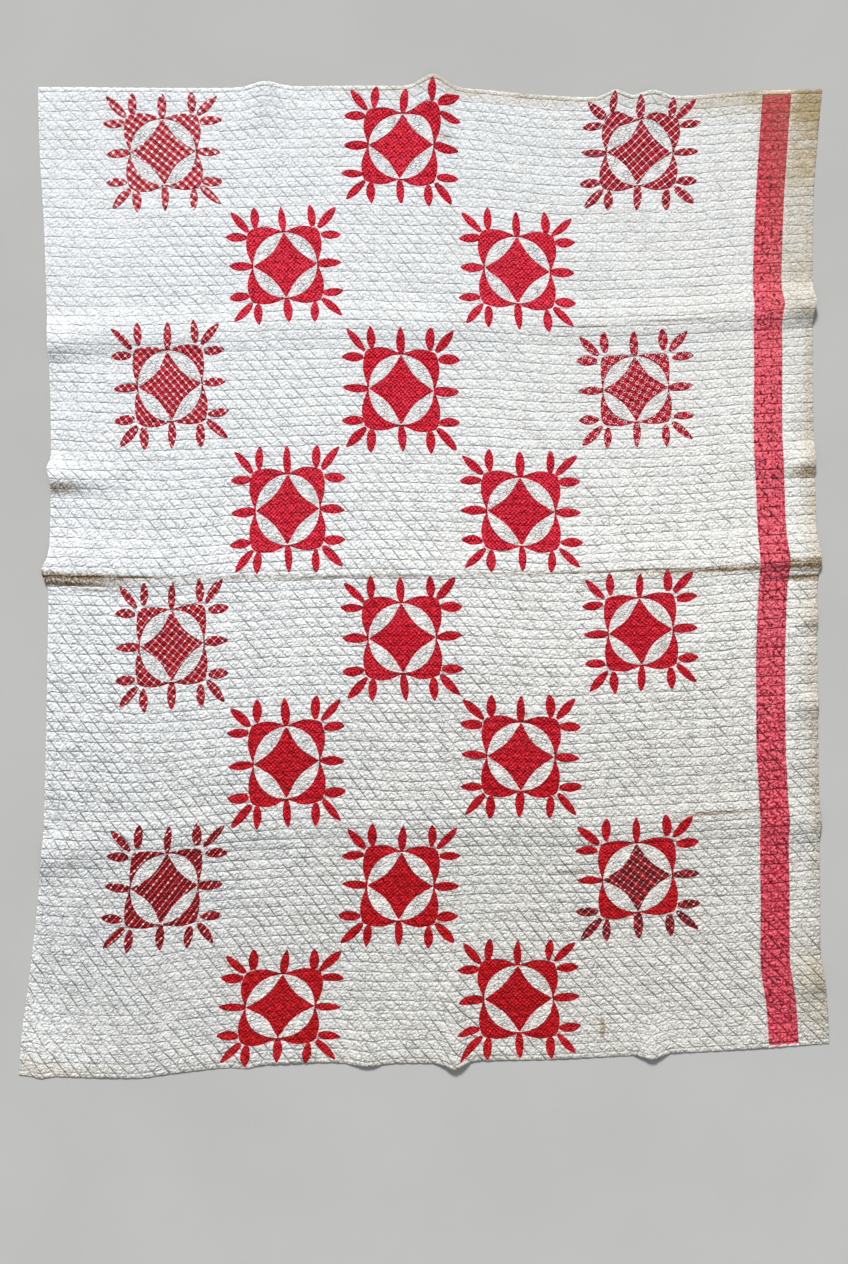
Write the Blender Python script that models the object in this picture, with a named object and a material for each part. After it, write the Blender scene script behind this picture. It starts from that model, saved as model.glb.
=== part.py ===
"""Red and white applique quilt, laid out face up.

Twenty reel-and-leaf motifs stand in a checkerboard on a white quilted field. A rose strip and an
outer white strip finish the right side. The quilt has been folded for storage, so low ridges cross it.

Frame: metres, +X to the right edge (the strips' side), +Y to the top edge, +Z up. The origin is the
middle of the quilt's box, on the surface that it lies on.

A place on the cloth before it is laid out is (across, down): metres from its left and top edges.
The tables below are in millimetres.
"""
import math
import random
from collections import namedtuple

import bmesh
import bpy
from mathutils import Vector
from mathutils.bvhtree import BVHTree
from mathutils.geometry import delaunay_2d_cdt

MM = 0.001

# Driving dimensions.
CLOTH_WIDTH = 1.660
CLOTH_LENGTH = 2.050
STITCHED = 0.0020          # thickness along a line of quilting
PUFFED = 0.0042            # thickness at the top of a puff between the lines
PUFF_VARIATION = 0.0002
GAP = 0.0004               # between cloths that touch
STRIP_LEFT = 1.530         # the seams on both sides of the rose strip
STRIP_RIGHT = 1.592
DRIFT_ROOM = 0.280         # the field shares the strips' drift over this width

# The quilting is raised at twice its real pitch: level lines, and lines that run down to the right.
LINE_PITCH = 0.044
SLANT_PITCH = 0.060
SLANT = 0.90               # across, for each metre down
LINE_WANDER = 0.0025
PLAIN_RIM = 0.024          # the slanting lines stop this far inside a panel's sides

# The four corners as laid, mm.
CORNERS = {"top_left": (-807, 1025), "top_right": (832, 1021),
           "bottom_left": (-847, -1040), "bottom_right": (847, -973)}

# Each edge leaves the straight line between its corners by a bow, which the whole cloth shares,
# and by ripples, which fade within RIPPLE_REACH. Outwards is positive, mm.
Bow = namedtuple("Bow", "along out")
Ripple = namedtuple("Ripple", "along out half_width")
RIPPLE_REACH = 0.120

TOP_BOW = [Bow(0, 0), Bow(383, -1), Bow(616, 4), Bow(766, 4), Bow(925, -2), Bow(1039, -12),
           Bow(1156, -18), Bow(1387, -14), Bow(1501, -5), Bow(1660, 0)]
BOTTOM_BOW = [Bow(0, 0), Bow(236, 16), Bow(320, 9), Bow(428, 1), Bow(635, -1), Bow(842, 9),
              Bow(928, 8), Bow(1100, 11), Bow(1258, 9), Bow(1492, 6), Bow(1660, 0)]
LEFT_BOW = [Bow(0, 0), Bow(143, -7), Bow(284, -18), Bow(483, -29), Bow(654, -39), Bow(813, -43),
            Bow(1147, -43), Bow(1538, -42), Bow(1687, -33), Bow(1838, -19), Bow(1953, -6), Bow(2050, 0)]
RIGHT_BOW = [Bow(0, 0), Bow(114, -11), Bow(260, -21), Bow(668, -24), Bow(907, -20), Bow(1184, -19),
             Bow(1509, -18), Bow(1743, -17), Bow(1870, -16), Bow(1958, -4), Bow(2050, 0)]
TOP_RIPPLES = [Ripple(483, 10, 38), Ripple(838, 23, 36), Ripple(1224, 14, 25), Ripple(1300, 12, 32)]
BOTTOM_RIPPLES = [Ripple(45, 6, 18), Ripple(467, 5, 22), Ripple(713, 8, 40), Ripple(893, 15, 22),
                  Ripple(1297, 10, 22)]
LEFT_RIPPLES = [Ripple(791, 7, 15), Ripple(998, 18, 28)]
RIGHT_RIPPLES = [Ripple(460, 7, 20), Ripple(1012, 12, 40), Ripple(1567, 3, 25)]

# The strips drift across the cloth a little on their way down, mm.
Drift = namedtuple("Drift", "down across")
STRIP_DRIFT = [Drift(0, 3), Drift(500, 1), Drift(900, -2), Drift(1250, -1), Drift(1600, 4), Drift(2050, 9)]

# Ridges left by folding, and puckers at the edges. A crease runs across or down the cloth through
# its stations; rise is its height there, and reach its half width, mm.
Crease = namedtuple("Crease", "name runs reach stations")
Station = namedtuple("Station", "along line rise")
CREASES = [
    Crease("half fold", "across", 80, [Station(0, 1003, 27), Station(170, 1025, 13), Station(830, 1030, 9),
                                       Station(1490, 1024, 14), Station(1660, 1014, 28)]),
    Crease("upper quarter fold", "across", 65, [Station(0, 530, 15), Station(170, 512, 6), Station(830, 500, 4),
                                                Station(1490, 474, 6), Station(1660, 466, 15)]),
    Crease("lower quarter fold", "across", 65, [Station(0, 1602, 9), Station(170, 1560, 4), Station(830, 1545, 3),
                                                Station(1490, 1560, 4), Station(1660, 1575, 8)]),
    Crease("left ridge", "across", 55, [Station(0, 812, 16), Station(80, 812, 8), Station(180, 808, 0)]),
    Crease("right ridge", "across", 52, [Station(1540, 824, 0), Station(1610, 822, 6), Station(1660, 822, 14)]),
    Crease("right bump, upper", "across", 45, [Station(1600, 1140, 0), Station(1660, 1138, 7)]),
    Crease("right bump, lower", "across", 45, [Station(1600, 1322, 0), Station(1660, 1322, 6)]),
    Crease("right puff", "across", 60, [Station(1560, 1918, 0), Station(1660, 1912, 11)]),
    Crease("top pucker, left", "down", 52, [Station(0, 480, 8), Station(95, 492, 0)]),
    Crease("top pucker, middle", "down", 58, [Station(0, 836, 13), Station(60, 848, 7), Station(140, 862, 0)]),
    Crease("top pucker, right", "down", 45, [Station(0, 1224, 7), Station(75, 1228, 0)]),
    Crease("top pucker, far right", "down", 45, [Station(0, 1300, 7), Station(80, 1306, 0)]),
    Crease("bottom fold", "down", 58, [Station(1780, 862, 0), Station(1930, 882, 6), Station(2050, 897, 11)]),
    Crease("bottom pucker, left", "down", 48, [Station(1970, 716, 0), Station(2050, 713, 6)]),
    Crease("bottom pucker, right", "down", 45, [Station(1980, 1296, 0), Station(2050, 1297, 6)]),
]
FOLD_UNDERSIDE = 0.88      # the underside follows a ridge at this share of its height, less the next
FOLD_SLACK = 0.0020
UNDERSIDE_STEP = 0.090     # spacing of the underside's points along a crease
UNDERSIDE_APART = 0.012    # closer points are left out
UNDERSIDE_INSET = 0.016    # and so are those this near the rim
UNDERSIDE_OFFSETS = (-1.0, -0.67, -0.33, 0.0, 0.33, 0.67, 1.0)

# The motifs: row and column of the checkerboard, the centre's place on the cloth, how far the side
# leaves reach across and down, mm, and the turn. Most are plain red; the sides' columns are printed.
Motif = namedtuple("Motif", "row column across down wide tall turn_deg cloth")
MOTIFS = [
    Motif(1, 1, 264, 133, 118, 117, 1, "printed_red"), Motif(1, 3, 772, 127, 122, 120, -2, "plain_red"),
    Motif(1, 5, 1280, 123, 122, 118, 0, "printed_red"),
    Motif(2, 2, 519, 374, 122, 121, 1, "plain_red"), Motif(2, 4, 1021, 375, 124, 124, 0, "plain_red"),
    Motif(3, 1, 261, 617, 122, 129, 2, "printed_red"), Motif(3, 3, 764, 637, 125, 130, -1, "plain_red"),
    Motif(3, 5, 1275, 625, 123, 122, 4, "printed_red"),
    Motif(4, 2, 515, 886, 122, 131, 0, "plain_red"), Motif(4, 4, 1021, 887, 129, 127, 1, "plain_red"),
    Motif(5, 1, 268, 1156, 121, 132, 1, "printed_red"), Motif(5, 3, 765, 1158, 128, 129, 2, "plain_red"),
    Motif(5, 5, 1279, 1144, 121, 126, 2, "plain_red"),
    Motif(6, 2, 518, 1416, 124, 134, 1, "plain_red"), Motif(6, 4, 1021, 1406, 127, 128, 0, "plain_red"),
    Motif(7, 1, 266, 1659, 126, 129, -1, "printed_red"), Motif(7, 3, 769, 1678, 124, 127, 0, "plain_red"),
    Motif(7, 5, 1272, 1670, 128, 129, 2, "printed_red"),
    Motif(8, 2, 531, 1927, 126, 118, -2, "plain_red"), Motif(8, 4, 1025, 1919, 125, 125, 0, "plain_red"),
]

# One motif, mm from its centre, +x to the right and +y up. Its pieces are sewn tip to tip, so they
# are one sheet here.
APPLIQUE = 0.0008          # thickness of the sheet
REEL_TIP = 71              # the diamond's tips, and the circle that the four corner pieces follow
DIAMOND_SIDE_DIP = 11      # the diamond's sides curve in
CORNER_SIDES = ((40, 84.5), (84.5, 40))   # the middles of a corner piece's outer sides
Leaf = namedtuple("Leaf", "root_x root_y direction_deg length half_width")
SIDE_LEAF = Leaf(0, 74, 90, 52, 8.0)
FLANK_LEAF = Leaf(64, 82, 90, 46, 9.0)
DIAGONAL_LEAF = Leaf(76.5, 79, 45, 60, 7.5)
LOWER_FLANK_LEAF = Leaf(82, 64, 0, 46, 9.0)
LEAF_REACH = SIDE_LEAF.root_y + SIDE_LEAF.length
LEAF_ROOT = 3.2            # half width of a leaf at its root
LEAF_TURN_DEG = 5          # hand-cut leaves differ by this much either way
LEAF_LENGTH_SHARE = 0.05
LEAF_WIDTH_SHARE = 0.10
SETTLING_STEP = 0.005      # spacing of the places where a motif is set against the puffs
SETTLING_PASSES = 12

COLOURS = {"white_cotton": (0.80, 0.81, 0.78), "rose_strip": (0.58, 0.10, 0.14),
           "plain_red": (0.52, 0.012, 0.04), "printed_red": (0.55, 0.06, 0.09)}
CLOTH_ROUGHNESS = 0.9


def smooth_between(rows, at):
    """Cubic curve through (place, value) rows, level beyond both ends."""
    if at <= rows[0][0]:
        return rows[0][1]
    if at >= rows[-1][0]:
        return rows[-1][1]
    places = [row[0] for row in rows]
    values = [row[1] for row in rows]
    last = len(rows) - 1
    left = max(index for index in range(last) if places[index] <= at)
    slopes = []
    for index in (left, left + 1):
        before, after = max(index - 1, 0), min(index + 1, last)
        slopes.append((values[after] - values[before]) / (places[after] - places[before]))
    span = places[left + 1] - places[left]
    s = (at - places[left]) / span
    return ((2 * s**3 - 3 * s**2 + 1) * values[left] + (s**3 - 2 * s**2 + s) * span * slopes[0]
            + (3 * s**2 - 2 * s**3) * values[left + 1] + (s**3 - s**2) * span * slopes[1])


def bow_out(bow, along):
    """How far an edge's bow leaves the straight line, in metres."""
    return smooth_between([(row.along, row.out) for row in bow], along / MM) * MM


def ripple_out(ripples, along, depth):
    """How far an edge's ripples carry a point that lies `depth` inside that edge."""
    total = sum(row.out * math.exp(-((along / MM - row.along) / row.half_width) ** 2) for row in ripples)
    return total * MM * math.exp(-(depth / RIPPLE_REACH) ** 2)


def strip_shift(across, down):
    """The strips' drift, shared with the cloth beside them."""
    middle = (STRIP_LEFT + STRIP_RIGHT) / 2
    room = DRIFT_ROOM if across < middle else CLOTH_WIDTH - middle
    share = max(0.0, 1.0 - abs(across - middle) / room)
    return share * smooth_between(STRIP_DRIFT, down / MM) * MM


def laid_out(across, down):
    """Where a place on the cloth lies, seen from above."""
    across = across + strip_shift(across, down)
    u, v = across / CLOTH_WIDTH, down / CLOTH_LENGTH
    shares = {"top_left": (1 - u) * (1 - v), "top_right": u * (1 - v),
              "bottom_left": (1 - u) * v, "bottom_right": u * v}
    x = sum(share * CORNERS[name][0] for name, share in shares.items()) * MM
    y = sum(share * CORNERS[name][1] for name, share in shares.items()) * MM
    y += (1 - v) * bow_out(TOP_BOW, across) + ripple_out(TOP_RIPPLES, across, down)
    y -= v * bow_out(BOTTOM_BOW, across) + ripple_out(BOTTOM_RIPPLES, across, CLOTH_LENGTH - down)
    x -= (1 - u) * bow_out(LEFT_BOW, down) + ripple_out(LEFT_RIPPLES, down, across)
    x += u * bow_out(RIGHT_BOW, down) + ripple_out(RIGHT_RIPPLES, down, CLOTH_WIDTH - across)
    return x, y


def crease_rise(crease, across, down):
    """Height of one crease: its crest's rise times (1 - (distance / reach)^2)^2."""
    along, side = (across, down) if crease.runs == "across" else (down, across)
    stations = crease.stations
    if not stations[0].along * MM <= along <= stations[-1].along * MM:
        return 0.0
    line = smooth_between([(row.along, row.line) for row in stations], along / MM) * MM
    distance = abs(side - line) / (crease.reach * MM)
    if distance >= 1.0:
        return 0.0
    rise = smooth_between([(row.along, row.rise) for row in stations], along / MM) * MM
    return max(rise, 0.0) * (1.0 - distance**2) ** 2


def lift(across, down):
    """Height that the folds give the cloth: the root of the creases' summed squares."""
    return math.sqrt(sum(crease_rise(crease, across, down) ** 2 for crease in CREASES))


def underside(across, down):
    """Height of the cloth's underside, which touches down all round the ridges."""
    return max(0.0, FOLD_UNDERSIDE * lift(across, down) - FOLD_SLACK)


def box_middle(steps=400):
    """Middle of the laid cloth's box, found along its four edges."""
    points = []
    for step in range(steps + 1):
        across, down = CLOTH_WIDTH * step / steps, CLOTH_LENGTH * step / steps
        points += [laid_out(across, 0.0), laid_out(across, CLOTH_LENGTH),
                   laid_out(0.0, down), laid_out(CLOTH_WIDTH, down)]
    xs, ys = [point[0] for point in points], [point[1] for point in points]
    return (min(xs) + max(xs)) / 2, (min(ys) + max(ys)) / 2


def spaced(start, end, step):
    """Places from start to end, both included, about a step apart."""
    count = max(1, round((end - start) / step))
    return [start + (end - start) * index / count for index in range(count + 1)]


class FlatPattern:
    """Points and lines drawn on the flat cloth, then cut into triangles."""

    def __init__(self):
        self.points, self.edges = [], []

    def point(self, across, down):
        self.points.append(Vector((across, -down)))
        return len(self.points) - 1

    def line(self, *places):
        ids = [self.point(*place) for place in places]
        self.edges += list(zip(ids, ids[1:]))
        return ids

    def loop(self, places):
        ids = self.line(*places)
        self.edges.append((ids[-1], ids[0]))
        return ids

    def triangles(self):
        """Corner places, triangles, and the drawn points that each corner stands for."""
        cut = delaunay_2d_cdt(self.points, self.edges, [], 1, 1e-6)
        places = [(corner.x, -corner.y) for corner in cut[0]]
        return places, [tuple(face) for face in cut[2]], cut[3]


def quilting_rows(rng):
    """The level lines of quilting: their places down the cloth."""
    rows = spaced(LINE_PITCH / 2, CLOTH_LENGTH - LINE_PITCH / 2, LINE_PITCH)
    return [row + rng.uniform(-LINE_WANDER, LINE_WANDER) for row in rows]


def slanting_starts(rng):
    """Where the slanting lines would meet the cloth's top edge."""
    starts = spaced(-SLANT * CLOTH_LENGTH, CLOTH_WIDTH, SLANT_PITCH)
    return [start + rng.uniform(-LINE_WANDER, LINE_WANDER) for start in starts]


def draw_panel_top(left, right, rows, starts):
    """Draw a panel's rim, its lines of quilting, and a point for each puff."""
    pattern = FlatPattern()
    bottom = CLOTH_LENGTH
    rim = [(across, 0.0) for across in spaced(left, right, LINE_PITCH)]
    rim += [(right, row) for row in rows]
    rim += [(across, bottom) for across in reversed(spaced(left, right, LINE_PITCH))]
    rim += [(left, row) for row in reversed(rows)]
    pattern.loop(rim)
    for row in rows:
        pattern.line((left, row), (right, row))
    puffs = set()
    low, high = left + PLAIN_RIM, right - PLAIN_RIM
    wide = high - low > SLANT_PITCH
    if wide:
        for start in starts:
            first = max(rows[0], (low - start) / SLANT)
            last = min(rows[-1], (high - start) / SLANT)
            if last - first > LINE_PITCH / 2:
                pattern.line((start + SLANT * first, first), (start + SLANT * last, last))
    for above, below in zip(rows, rows[1:]):
        middle = (above + below) / 2
        if not wide:
            puffs.add(pattern.point((left + right) / 2, middle))
            continue
        for start, following in zip(starts, starts[1:]):
            across = (start + following) / 2 + SLANT * middle
            if low < across < high:
                puffs.add(pattern.point(across, middle))
    return pattern, puffs


def edge_loop(triangles):
    """The corners round a triangulated sheet, in order."""
    borders = {}
    directed = {(tri[k], tri[(k + 1) % 3]) for tri in triangles for k in range(3)}
    for start, end in directed:
        if (end, start) not in directed:
            borders[start] = end
    corner = next(iter(sorted(borders)))
    loop = [corner]
    while borders[loop[-1]] != corner:
        loop.append(borders[loop[-1]])
    return loop


def underside_points(left, right):
    """Places where a panel's underside follows the creases."""
    margin = UNDERSIDE_INSET
    places = []
    for crease in CREASES:
        first, last = crease.stations[0].along * MM, crease.stations[-1].along * MM
        low, high = (left, right) if crease.runs == "across" else (0.0, CLOTH_LENGTH)
        first, last = max(first, low + margin), min(last, high - margin)
        if last - first < margin:
            continue
        short = last - first < 2 * UNDERSIDE_STEP
        for along in spaced(first, last, UNDERSIDE_STEP / 3 if short else UNDERSIDE_STEP):
            line = smooth_between([(row.along, row.line) for row in crease.stations], along / MM) * MM
            for offset in UNDERSIDE_OFFSETS:
                side = line + offset * crease.reach * MM
                place = (along, side) if crease.runs == "across" else (side, along)
                inside = (left + margin < place[0] < right - margin
                          and margin < place[1] < CLOTH_LENGTH - margin)
                if inside and all(math.dist(place, other) > UNDERSIDE_APART for other in places):
                    places.append(place)
    return places


def add_object(name, corners, faces, cloth):
    """Make a closed mesh object from its corners in metres."""
    mesh = bpy.data.meshes.new(name)
    shape = bmesh.new()
    verts = [shape.verts.new(corner) for corner in corners]
    for face in faces:
        shape.faces.new([verts[index] for index in face])
    bmesh.ops.recalc_face_normals(shape, faces=shape.faces[:])
    shape.to_mesh(mesh)
    shape.free()
    mesh.materials.append(cloth_material(cloth))
    obj = bpy.data.objects.new(name, mesh)
    bpy.context.scene.collection.objects.link(obj)
    return obj


def cloth_material(cloth):
    """One Principled material for each kind of cloth."""
    material = bpy.data.materials.get(cloth)
    if material is None:
        material = bpy.data.materials.new(cloth)
        material.use_nodes = True
        shader = material.node_tree.nodes["Principled BSDF"]
        shader.inputs["Base Color"].default_value = (*COLOURS[cloth], 1.0)
        shader.inputs["Roughness"].default_value = CLOTH_ROUGHNESS
        shader.inputs["Metallic"].default_value = 0.0
    return material


def panel(name, left, right, cloth, rows, starts, middle, rng):
    """One quilted panel: relief on top, a plain underside, and a low wall round its rim."""
    pattern, puffs = draw_panel_top(left, right, rows, starts)
    places, top_faces, origins = pattern.triangles()

    def corner(place, height):
        x, y = laid_out(*place)
        return (x - middle[0], y - middle[1], height)

    corners = []
    for place, origin in zip(places, origins):
        thickness = STITCHED
        if any(index in puffs for index in origin):
            thickness = PUFFED + rng.uniform(-PUFF_VARIATION, PUFF_VARIATION)
        corners.append(corner(place, lift(*place) + thickness))
    rim = edge_loop(top_faces)

    below = FlatPattern()
    below.loop([places[index] for index in rim])
    for place in underside_points(left, right):
        below.point(*place)
    low_places, low_faces, low_origins = below.triangles()
    first_low = len(corners)
    corners += [corner(place, underside(*place)) for place in low_places]
    count = len(rim)
    low_rim = {drawn: first_low + index for index, origin in enumerate(low_origins)
               for drawn in origin if drawn < count}

    faces = list(top_faces)
    faces += [tuple(first_low + index for index in reversed(face)) for face in low_faces]
    for here in range(count):
        after = (here + 1) % count
        faces.append((rim[here], low_rim[here], low_rim[after]))
        faces.append((rim[here], low_rim[after], rim[after]))
    return add_object(name, corners, faces, cloth)


def leaf_outline(leaf, rng):
    """A hand-cut leaf from root to root: root, widest on the left, tip, widest on the right, root."""
    angle = math.radians(leaf.direction_deg + rng.uniform(-LEAF_TURN_DEG, LEAF_TURN_DEG))
    length = leaf.length * (1 + rng.uniform(-LEAF_LENGTH_SHARE, 0))
    wide = leaf.half_width * (1 + rng.uniform(-LEAF_WIDTH_SHARE, LEAF_WIDTH_SHARE))
    forward, left = Vector((math.cos(angle), math.sin(angle))), Vector((-math.sin(angle), math.cos(angle)))
    root = Vector((leaf.root_x, leaf.root_y))
    steps = [(0.0, LEAF_ROOT), (0.5, wide), (1.0, 0.0), (0.5, -wide), (0.0, -LEAF_ROOT)]
    return [root + forward * (share * length) + left * out for share, out in steps]


def turned(points, quarters):
    """Points turned clockwise by quarter turns, about the motif's centre."""
    for _ in range(quarters):
        points = [Vector((point.y, -point.x)) for point in points]
    return points


def motif_outline(rng):
    """The whole motif's outer outline, clockwise from the left root of its top side leaf."""
    upper_side, lower_side = (Vector(point) for point in CORNER_SIDES)
    outline = []
    for quarters in range(4):
        quarter = [*leaf_outline(SIDE_LEAF, rng), upper_side, *leaf_outline(FLANK_LEAF, rng),
                   *leaf_outline(DIAGONAL_LEAF, rng), *leaf_outline(LOWER_FLANK_LEAF, rng), lower_side]
        outline += turned(quarter, quarters)
    return outline


def lens_outline():
    """The white lens between the top and right tips: the circle outside, the diamond's side inside."""
    tip_slack = 3
    outer = []
    for share in (0.0, 0.25, 0.5, 0.75, 1.0):
        angle = math.radians((90 - tip_slack) * (1 - share) + tip_slack * share)
        outer.append(Vector((math.cos(angle), math.sin(angle))) * REEL_TIP)
    inner = []
    chord = outer[0] - outer[-1]
    for share in (0.33, 0.67):
        dip = DIAMOND_SIDE_DIP * math.sin(math.pi * share)
        inner.append(outer[-1] + chord * share - Vector((1, 1)).normalized() * dip)
    return outer + inner


def inside(place, loop):
    """Whether a place lies inside a loop of places."""
    x, y = place
    crossings = 0
    for start, end in zip(loop, loop[1:] + loop[:1]):
        if (start[1] > y) != (end[1] > y):
            crossings += x < start[0] + (end[0] - start[0]) * (y - start[1]) / (end[1] - start[1])
    return crossings % 2 == 1


def on_cloth(row, points):
    """Places on the cloth of a motif's points: stretched to its own reach, turned, and set down."""
    turn = math.radians(row.turn_deg)
    places = []
    for point in points:
        x, y = point.x * row.wide / LEAF_REACH, point.y * row.tall / LEAF_REACH
        across = x * math.cos(turn) - y * math.sin(turn)
        up = x * math.sin(turn) + y * math.cos(turn)
        places.append(((row.across + across) * MM, (row.down - up) * MM))
    return places


def settled(corners, faces, ground):
    """Heights at which a sheet spans the puffs below it with a gap everywhere.

    The corners start on the ground. Each triangle is then raised wherever it would cut the ground,
    its nearest corners most, until nothing is cut.
    """
    heights = [ground(x, y) + GAP for x, y in corners]
    contacts = []
    for face in faces:
        a, b, c = (Vector(corners[index]) for index in face)
        steps = max(2, math.ceil(max((b - a).length, (c - b).length, (a - c).length) / SETTLING_STEP))
        for i in range(steps + 1):
            for j in range(steps + 1 - i):
                shares = (i / steps, j / steps, 1 - (i + j) / steps)
                place = a * shares[0] + b * shares[1] + c * shares[2]
                contacts.append((face, shares, ground(place.x, place.y) + GAP))
    for _ in range(SETTLING_PASSES):
        for face, shares, needed in contacts:
            short = needed - sum(share * heights[index] for share, index in zip(shares, face))
            if short > 0:
                weight = sum(share * share for share in shares)
                for share, index in zip(shares, face):
                    heights[index] += short * share / weight
    return heights


def motif(row, middle, field):
    """One motif's sheet, lying on the field's puffs."""
    rng = random.Random(row.row * 10 + row.column)
    outer = on_cloth(row, motif_outline(rng))
    holes = [on_cloth(row, turned(lens_outline(), quarters)) for quarters in range(4)]
    pattern = FlatPattern()
    for loop in (outer, *holes):
        pattern.loop(loop)
    places, faces, _ = pattern.triangles()
    kept = []
    for face in faces:
        centre = tuple(sum(places[index][axis] for index in face) / 3 for axis in (0, 1))
        if inside(centre, outer) and not any(inside(centre, hole) for hole in holes):
            kept.append(face)

    def ground(x, y):
        return field.ray_cast(Vector((x, y, 1.0)), Vector((0, 0, -1)))[0].z

    corners = []
    for place in places:
        x, y = laid_out(*place)
        corners.append((x - middle[0], y - middle[1]))
    heights = settled(corners, kept, ground)
    low = [(x, y, height) for (x, y), height in zip(corners, heights)]
    high = [(x, y, height + APPLIQUE) for (x, y), height in zip(corners, heights)]
    count = len(places)
    solid = [tuple(index + count for index in face) for face in kept]
    solid += [tuple(reversed(face)) for face in kept]
    directed = {(face[k], face[(k + 1) % 3]) for face in kept for k in range(3)}
    for start, end in sorted(directed):
        if (end, start) not in directed:
            solid.append((start, end, end + count))
            solid.append((start, end + count, start + count))
    return add_object(f"motif_{row.row}_{row.column}", low + high, solid, row.cloth)


def clear_scene():
    """Remove whatever the scene starts with."""
    for obj in list(bpy.data.objects):
        bpy.data.objects.remove(obj, do_unlink=True)


def main():
    clear_scene()
    rng = random.Random(11)
    rows, starts = quilting_rows(rng), slanting_starts(rng)
    middle = box_middle()
    seam = GAP / 2
    field = panel("white_field", 0.0, STRIP_LEFT - seam, "white_cotton", rows, starts, middle, rng)
    panel("rose_strip", STRIP_LEFT + seam, STRIP_RIGHT - seam, "rose_strip", rows, starts, middle, rng)
    panel("outer_strip", STRIP_RIGHT + seam, CLOTH_WIDTH, "white_cotton", rows, starts, middle, rng)
    surface = BVHTree.FromPolygons([corner.co[:] for corner in field.data.vertices],
                                   [face.vertices[:] for face in field.data.polygons])
    for row in MOTIFS:
        motif(row, middle, surface)


main()
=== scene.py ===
"""Old red and white applique quilt, laid out face up: the looks of its panels, back and motifs.

Everything is worked out on the flat cloth first, as places (across, down) from its left and top
edges, and then laid where the cloth lies. Lengths are metres, and millimetres in the tables.
"""

import math
import random
from collections import namedtuple
from types import SimpleNamespace

import bpy
import numpy as np
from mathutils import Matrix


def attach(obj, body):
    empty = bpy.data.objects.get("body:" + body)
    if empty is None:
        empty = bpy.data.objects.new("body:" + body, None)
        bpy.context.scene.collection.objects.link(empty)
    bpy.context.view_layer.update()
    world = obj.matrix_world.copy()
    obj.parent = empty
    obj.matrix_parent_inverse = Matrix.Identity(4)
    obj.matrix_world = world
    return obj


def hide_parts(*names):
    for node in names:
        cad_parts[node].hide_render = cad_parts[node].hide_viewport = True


bl_info = {
    "name": "Reel and Leaf Quilt",
    "version": (1, 0, 0),
    "blender": (4, 5, 0),
    "location": "3D View > Sidebar > Quilt",
    "description": "Dresses the solids of a red and white applique quilt in quilted, printed and aged cotton",
    "category": "Object",
}

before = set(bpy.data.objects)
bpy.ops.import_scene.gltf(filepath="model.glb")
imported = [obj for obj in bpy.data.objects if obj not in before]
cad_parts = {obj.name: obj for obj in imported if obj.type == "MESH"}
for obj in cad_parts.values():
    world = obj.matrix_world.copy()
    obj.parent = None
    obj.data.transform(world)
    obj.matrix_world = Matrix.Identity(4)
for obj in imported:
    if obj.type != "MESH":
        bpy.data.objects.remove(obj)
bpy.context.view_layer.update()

MM = 0.001

# The cloth, and the seams on both sides of its rose strip.
CLOTH_WIDTH = 1.660
CLOTH_LENGTH = 2.050
STRIP_LEFT = 1.530
STRIP_RIGHT = 1.592
STRIP_MIDDLE = (STRIP_LEFT + STRIP_RIGHT) / 2
DRIFT_ROOM = 0.280         # how far left of the strip the cloth gives way to its drift

# Lines of quilting: level ones, and slanting ones that run down to the right.
LINE_COUNT = 102
LINE_PITCH = CLOTH_LENGTH / LINE_COUNT
SLANT = 0.84               # across, for each metre down
SLANT_PITCH = 0.0257       # measured across
LINE_STEPS = np.array((0.0, 0.06, 0.20, 0.50, 0.80, 0.94))   # rows from one line to the next
RIM_STEPS = np.array((0.0, 0.0008, 0.0022, 0.0050))          # rows beside a rim or a seam
FIELD_CUTS = (24, 51, 77)  # the field's bands meet in these level lines, beside the folds
RIM_PULL = 0.0009          # a line of stitches draws the rim in by this much
RIM_PULL_REACH = 0.008
BACK_STEP = 0.012

# The four corners as laid, mm.
CORNERS = {"top_left": (-807, 1025), "top_right": (832, 1021),
           "bottom_left": (-847, -1040), "bottom_right": (847, -973)}

# Each edge leaves the straight line between its corners by a bow, (along, out), which the whole
# cloth shares, and by ripples, (along, out, half width), which fade inwards. Outwards is positive.
RIPPLE_REACH = 0.120
TOP_BOW = ((0, 0), (383, -1), (616, 4), (766, 4), (925, -2), (1039, -12), (1156, -18), (1387, -14),
           (1501, -5), (1660, 0))
BOTTOM_BOW = ((0, 0), (236, 16), (320, 9), (428, 1), (635, -1), (842, 9), (928, 8), (1100, 11),
              (1258, 9), (1492, 6), (1660, 0))
LEFT_BOW = ((0, 0), (143, -7), (284, -18), (483, -29), (654, -39), (813, -43), (1147, -43),
            (1538, -42), (1687, -33), (1838, -19), (1953, -6), (2050, 0))
RIGHT_BOW = ((0, 0), (114, -11), (260, -21), (668, -24), (907, -20), (1184, -19), (1509, -18),
             (1743, -17), (1870, -16), (1958, -4), (2050, 0))
TOP_RIPPLES = ((483, 10, 38), (838, 23, 36), (1224, 14, 25), (1300, 12, 32))
BOTTOM_RIPPLES = ((45, 6, 18), (467, 5, 22), (713, 8, 40), (893, 15, 22), (1297, 10, 22))
LEFT_RIPPLES = ((791, 7, 15), (1006, 14, 26))
RIGHT_RIPPLES = ((460, 7, 20), (1012, 9, 40), (1567, 3, 25))
STRIP_DRIFT = ((0, 5), (160, 7), (260, 6), (410, 1), (560, 3), (760, 0), (860, 2), (960, 4), (1062, 5),
               (1212, -2), (1312, -3), (1413, -3), (1513, 2), (1814, 5), (1914, 4), (2050, 8))  # (down, across)

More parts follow.
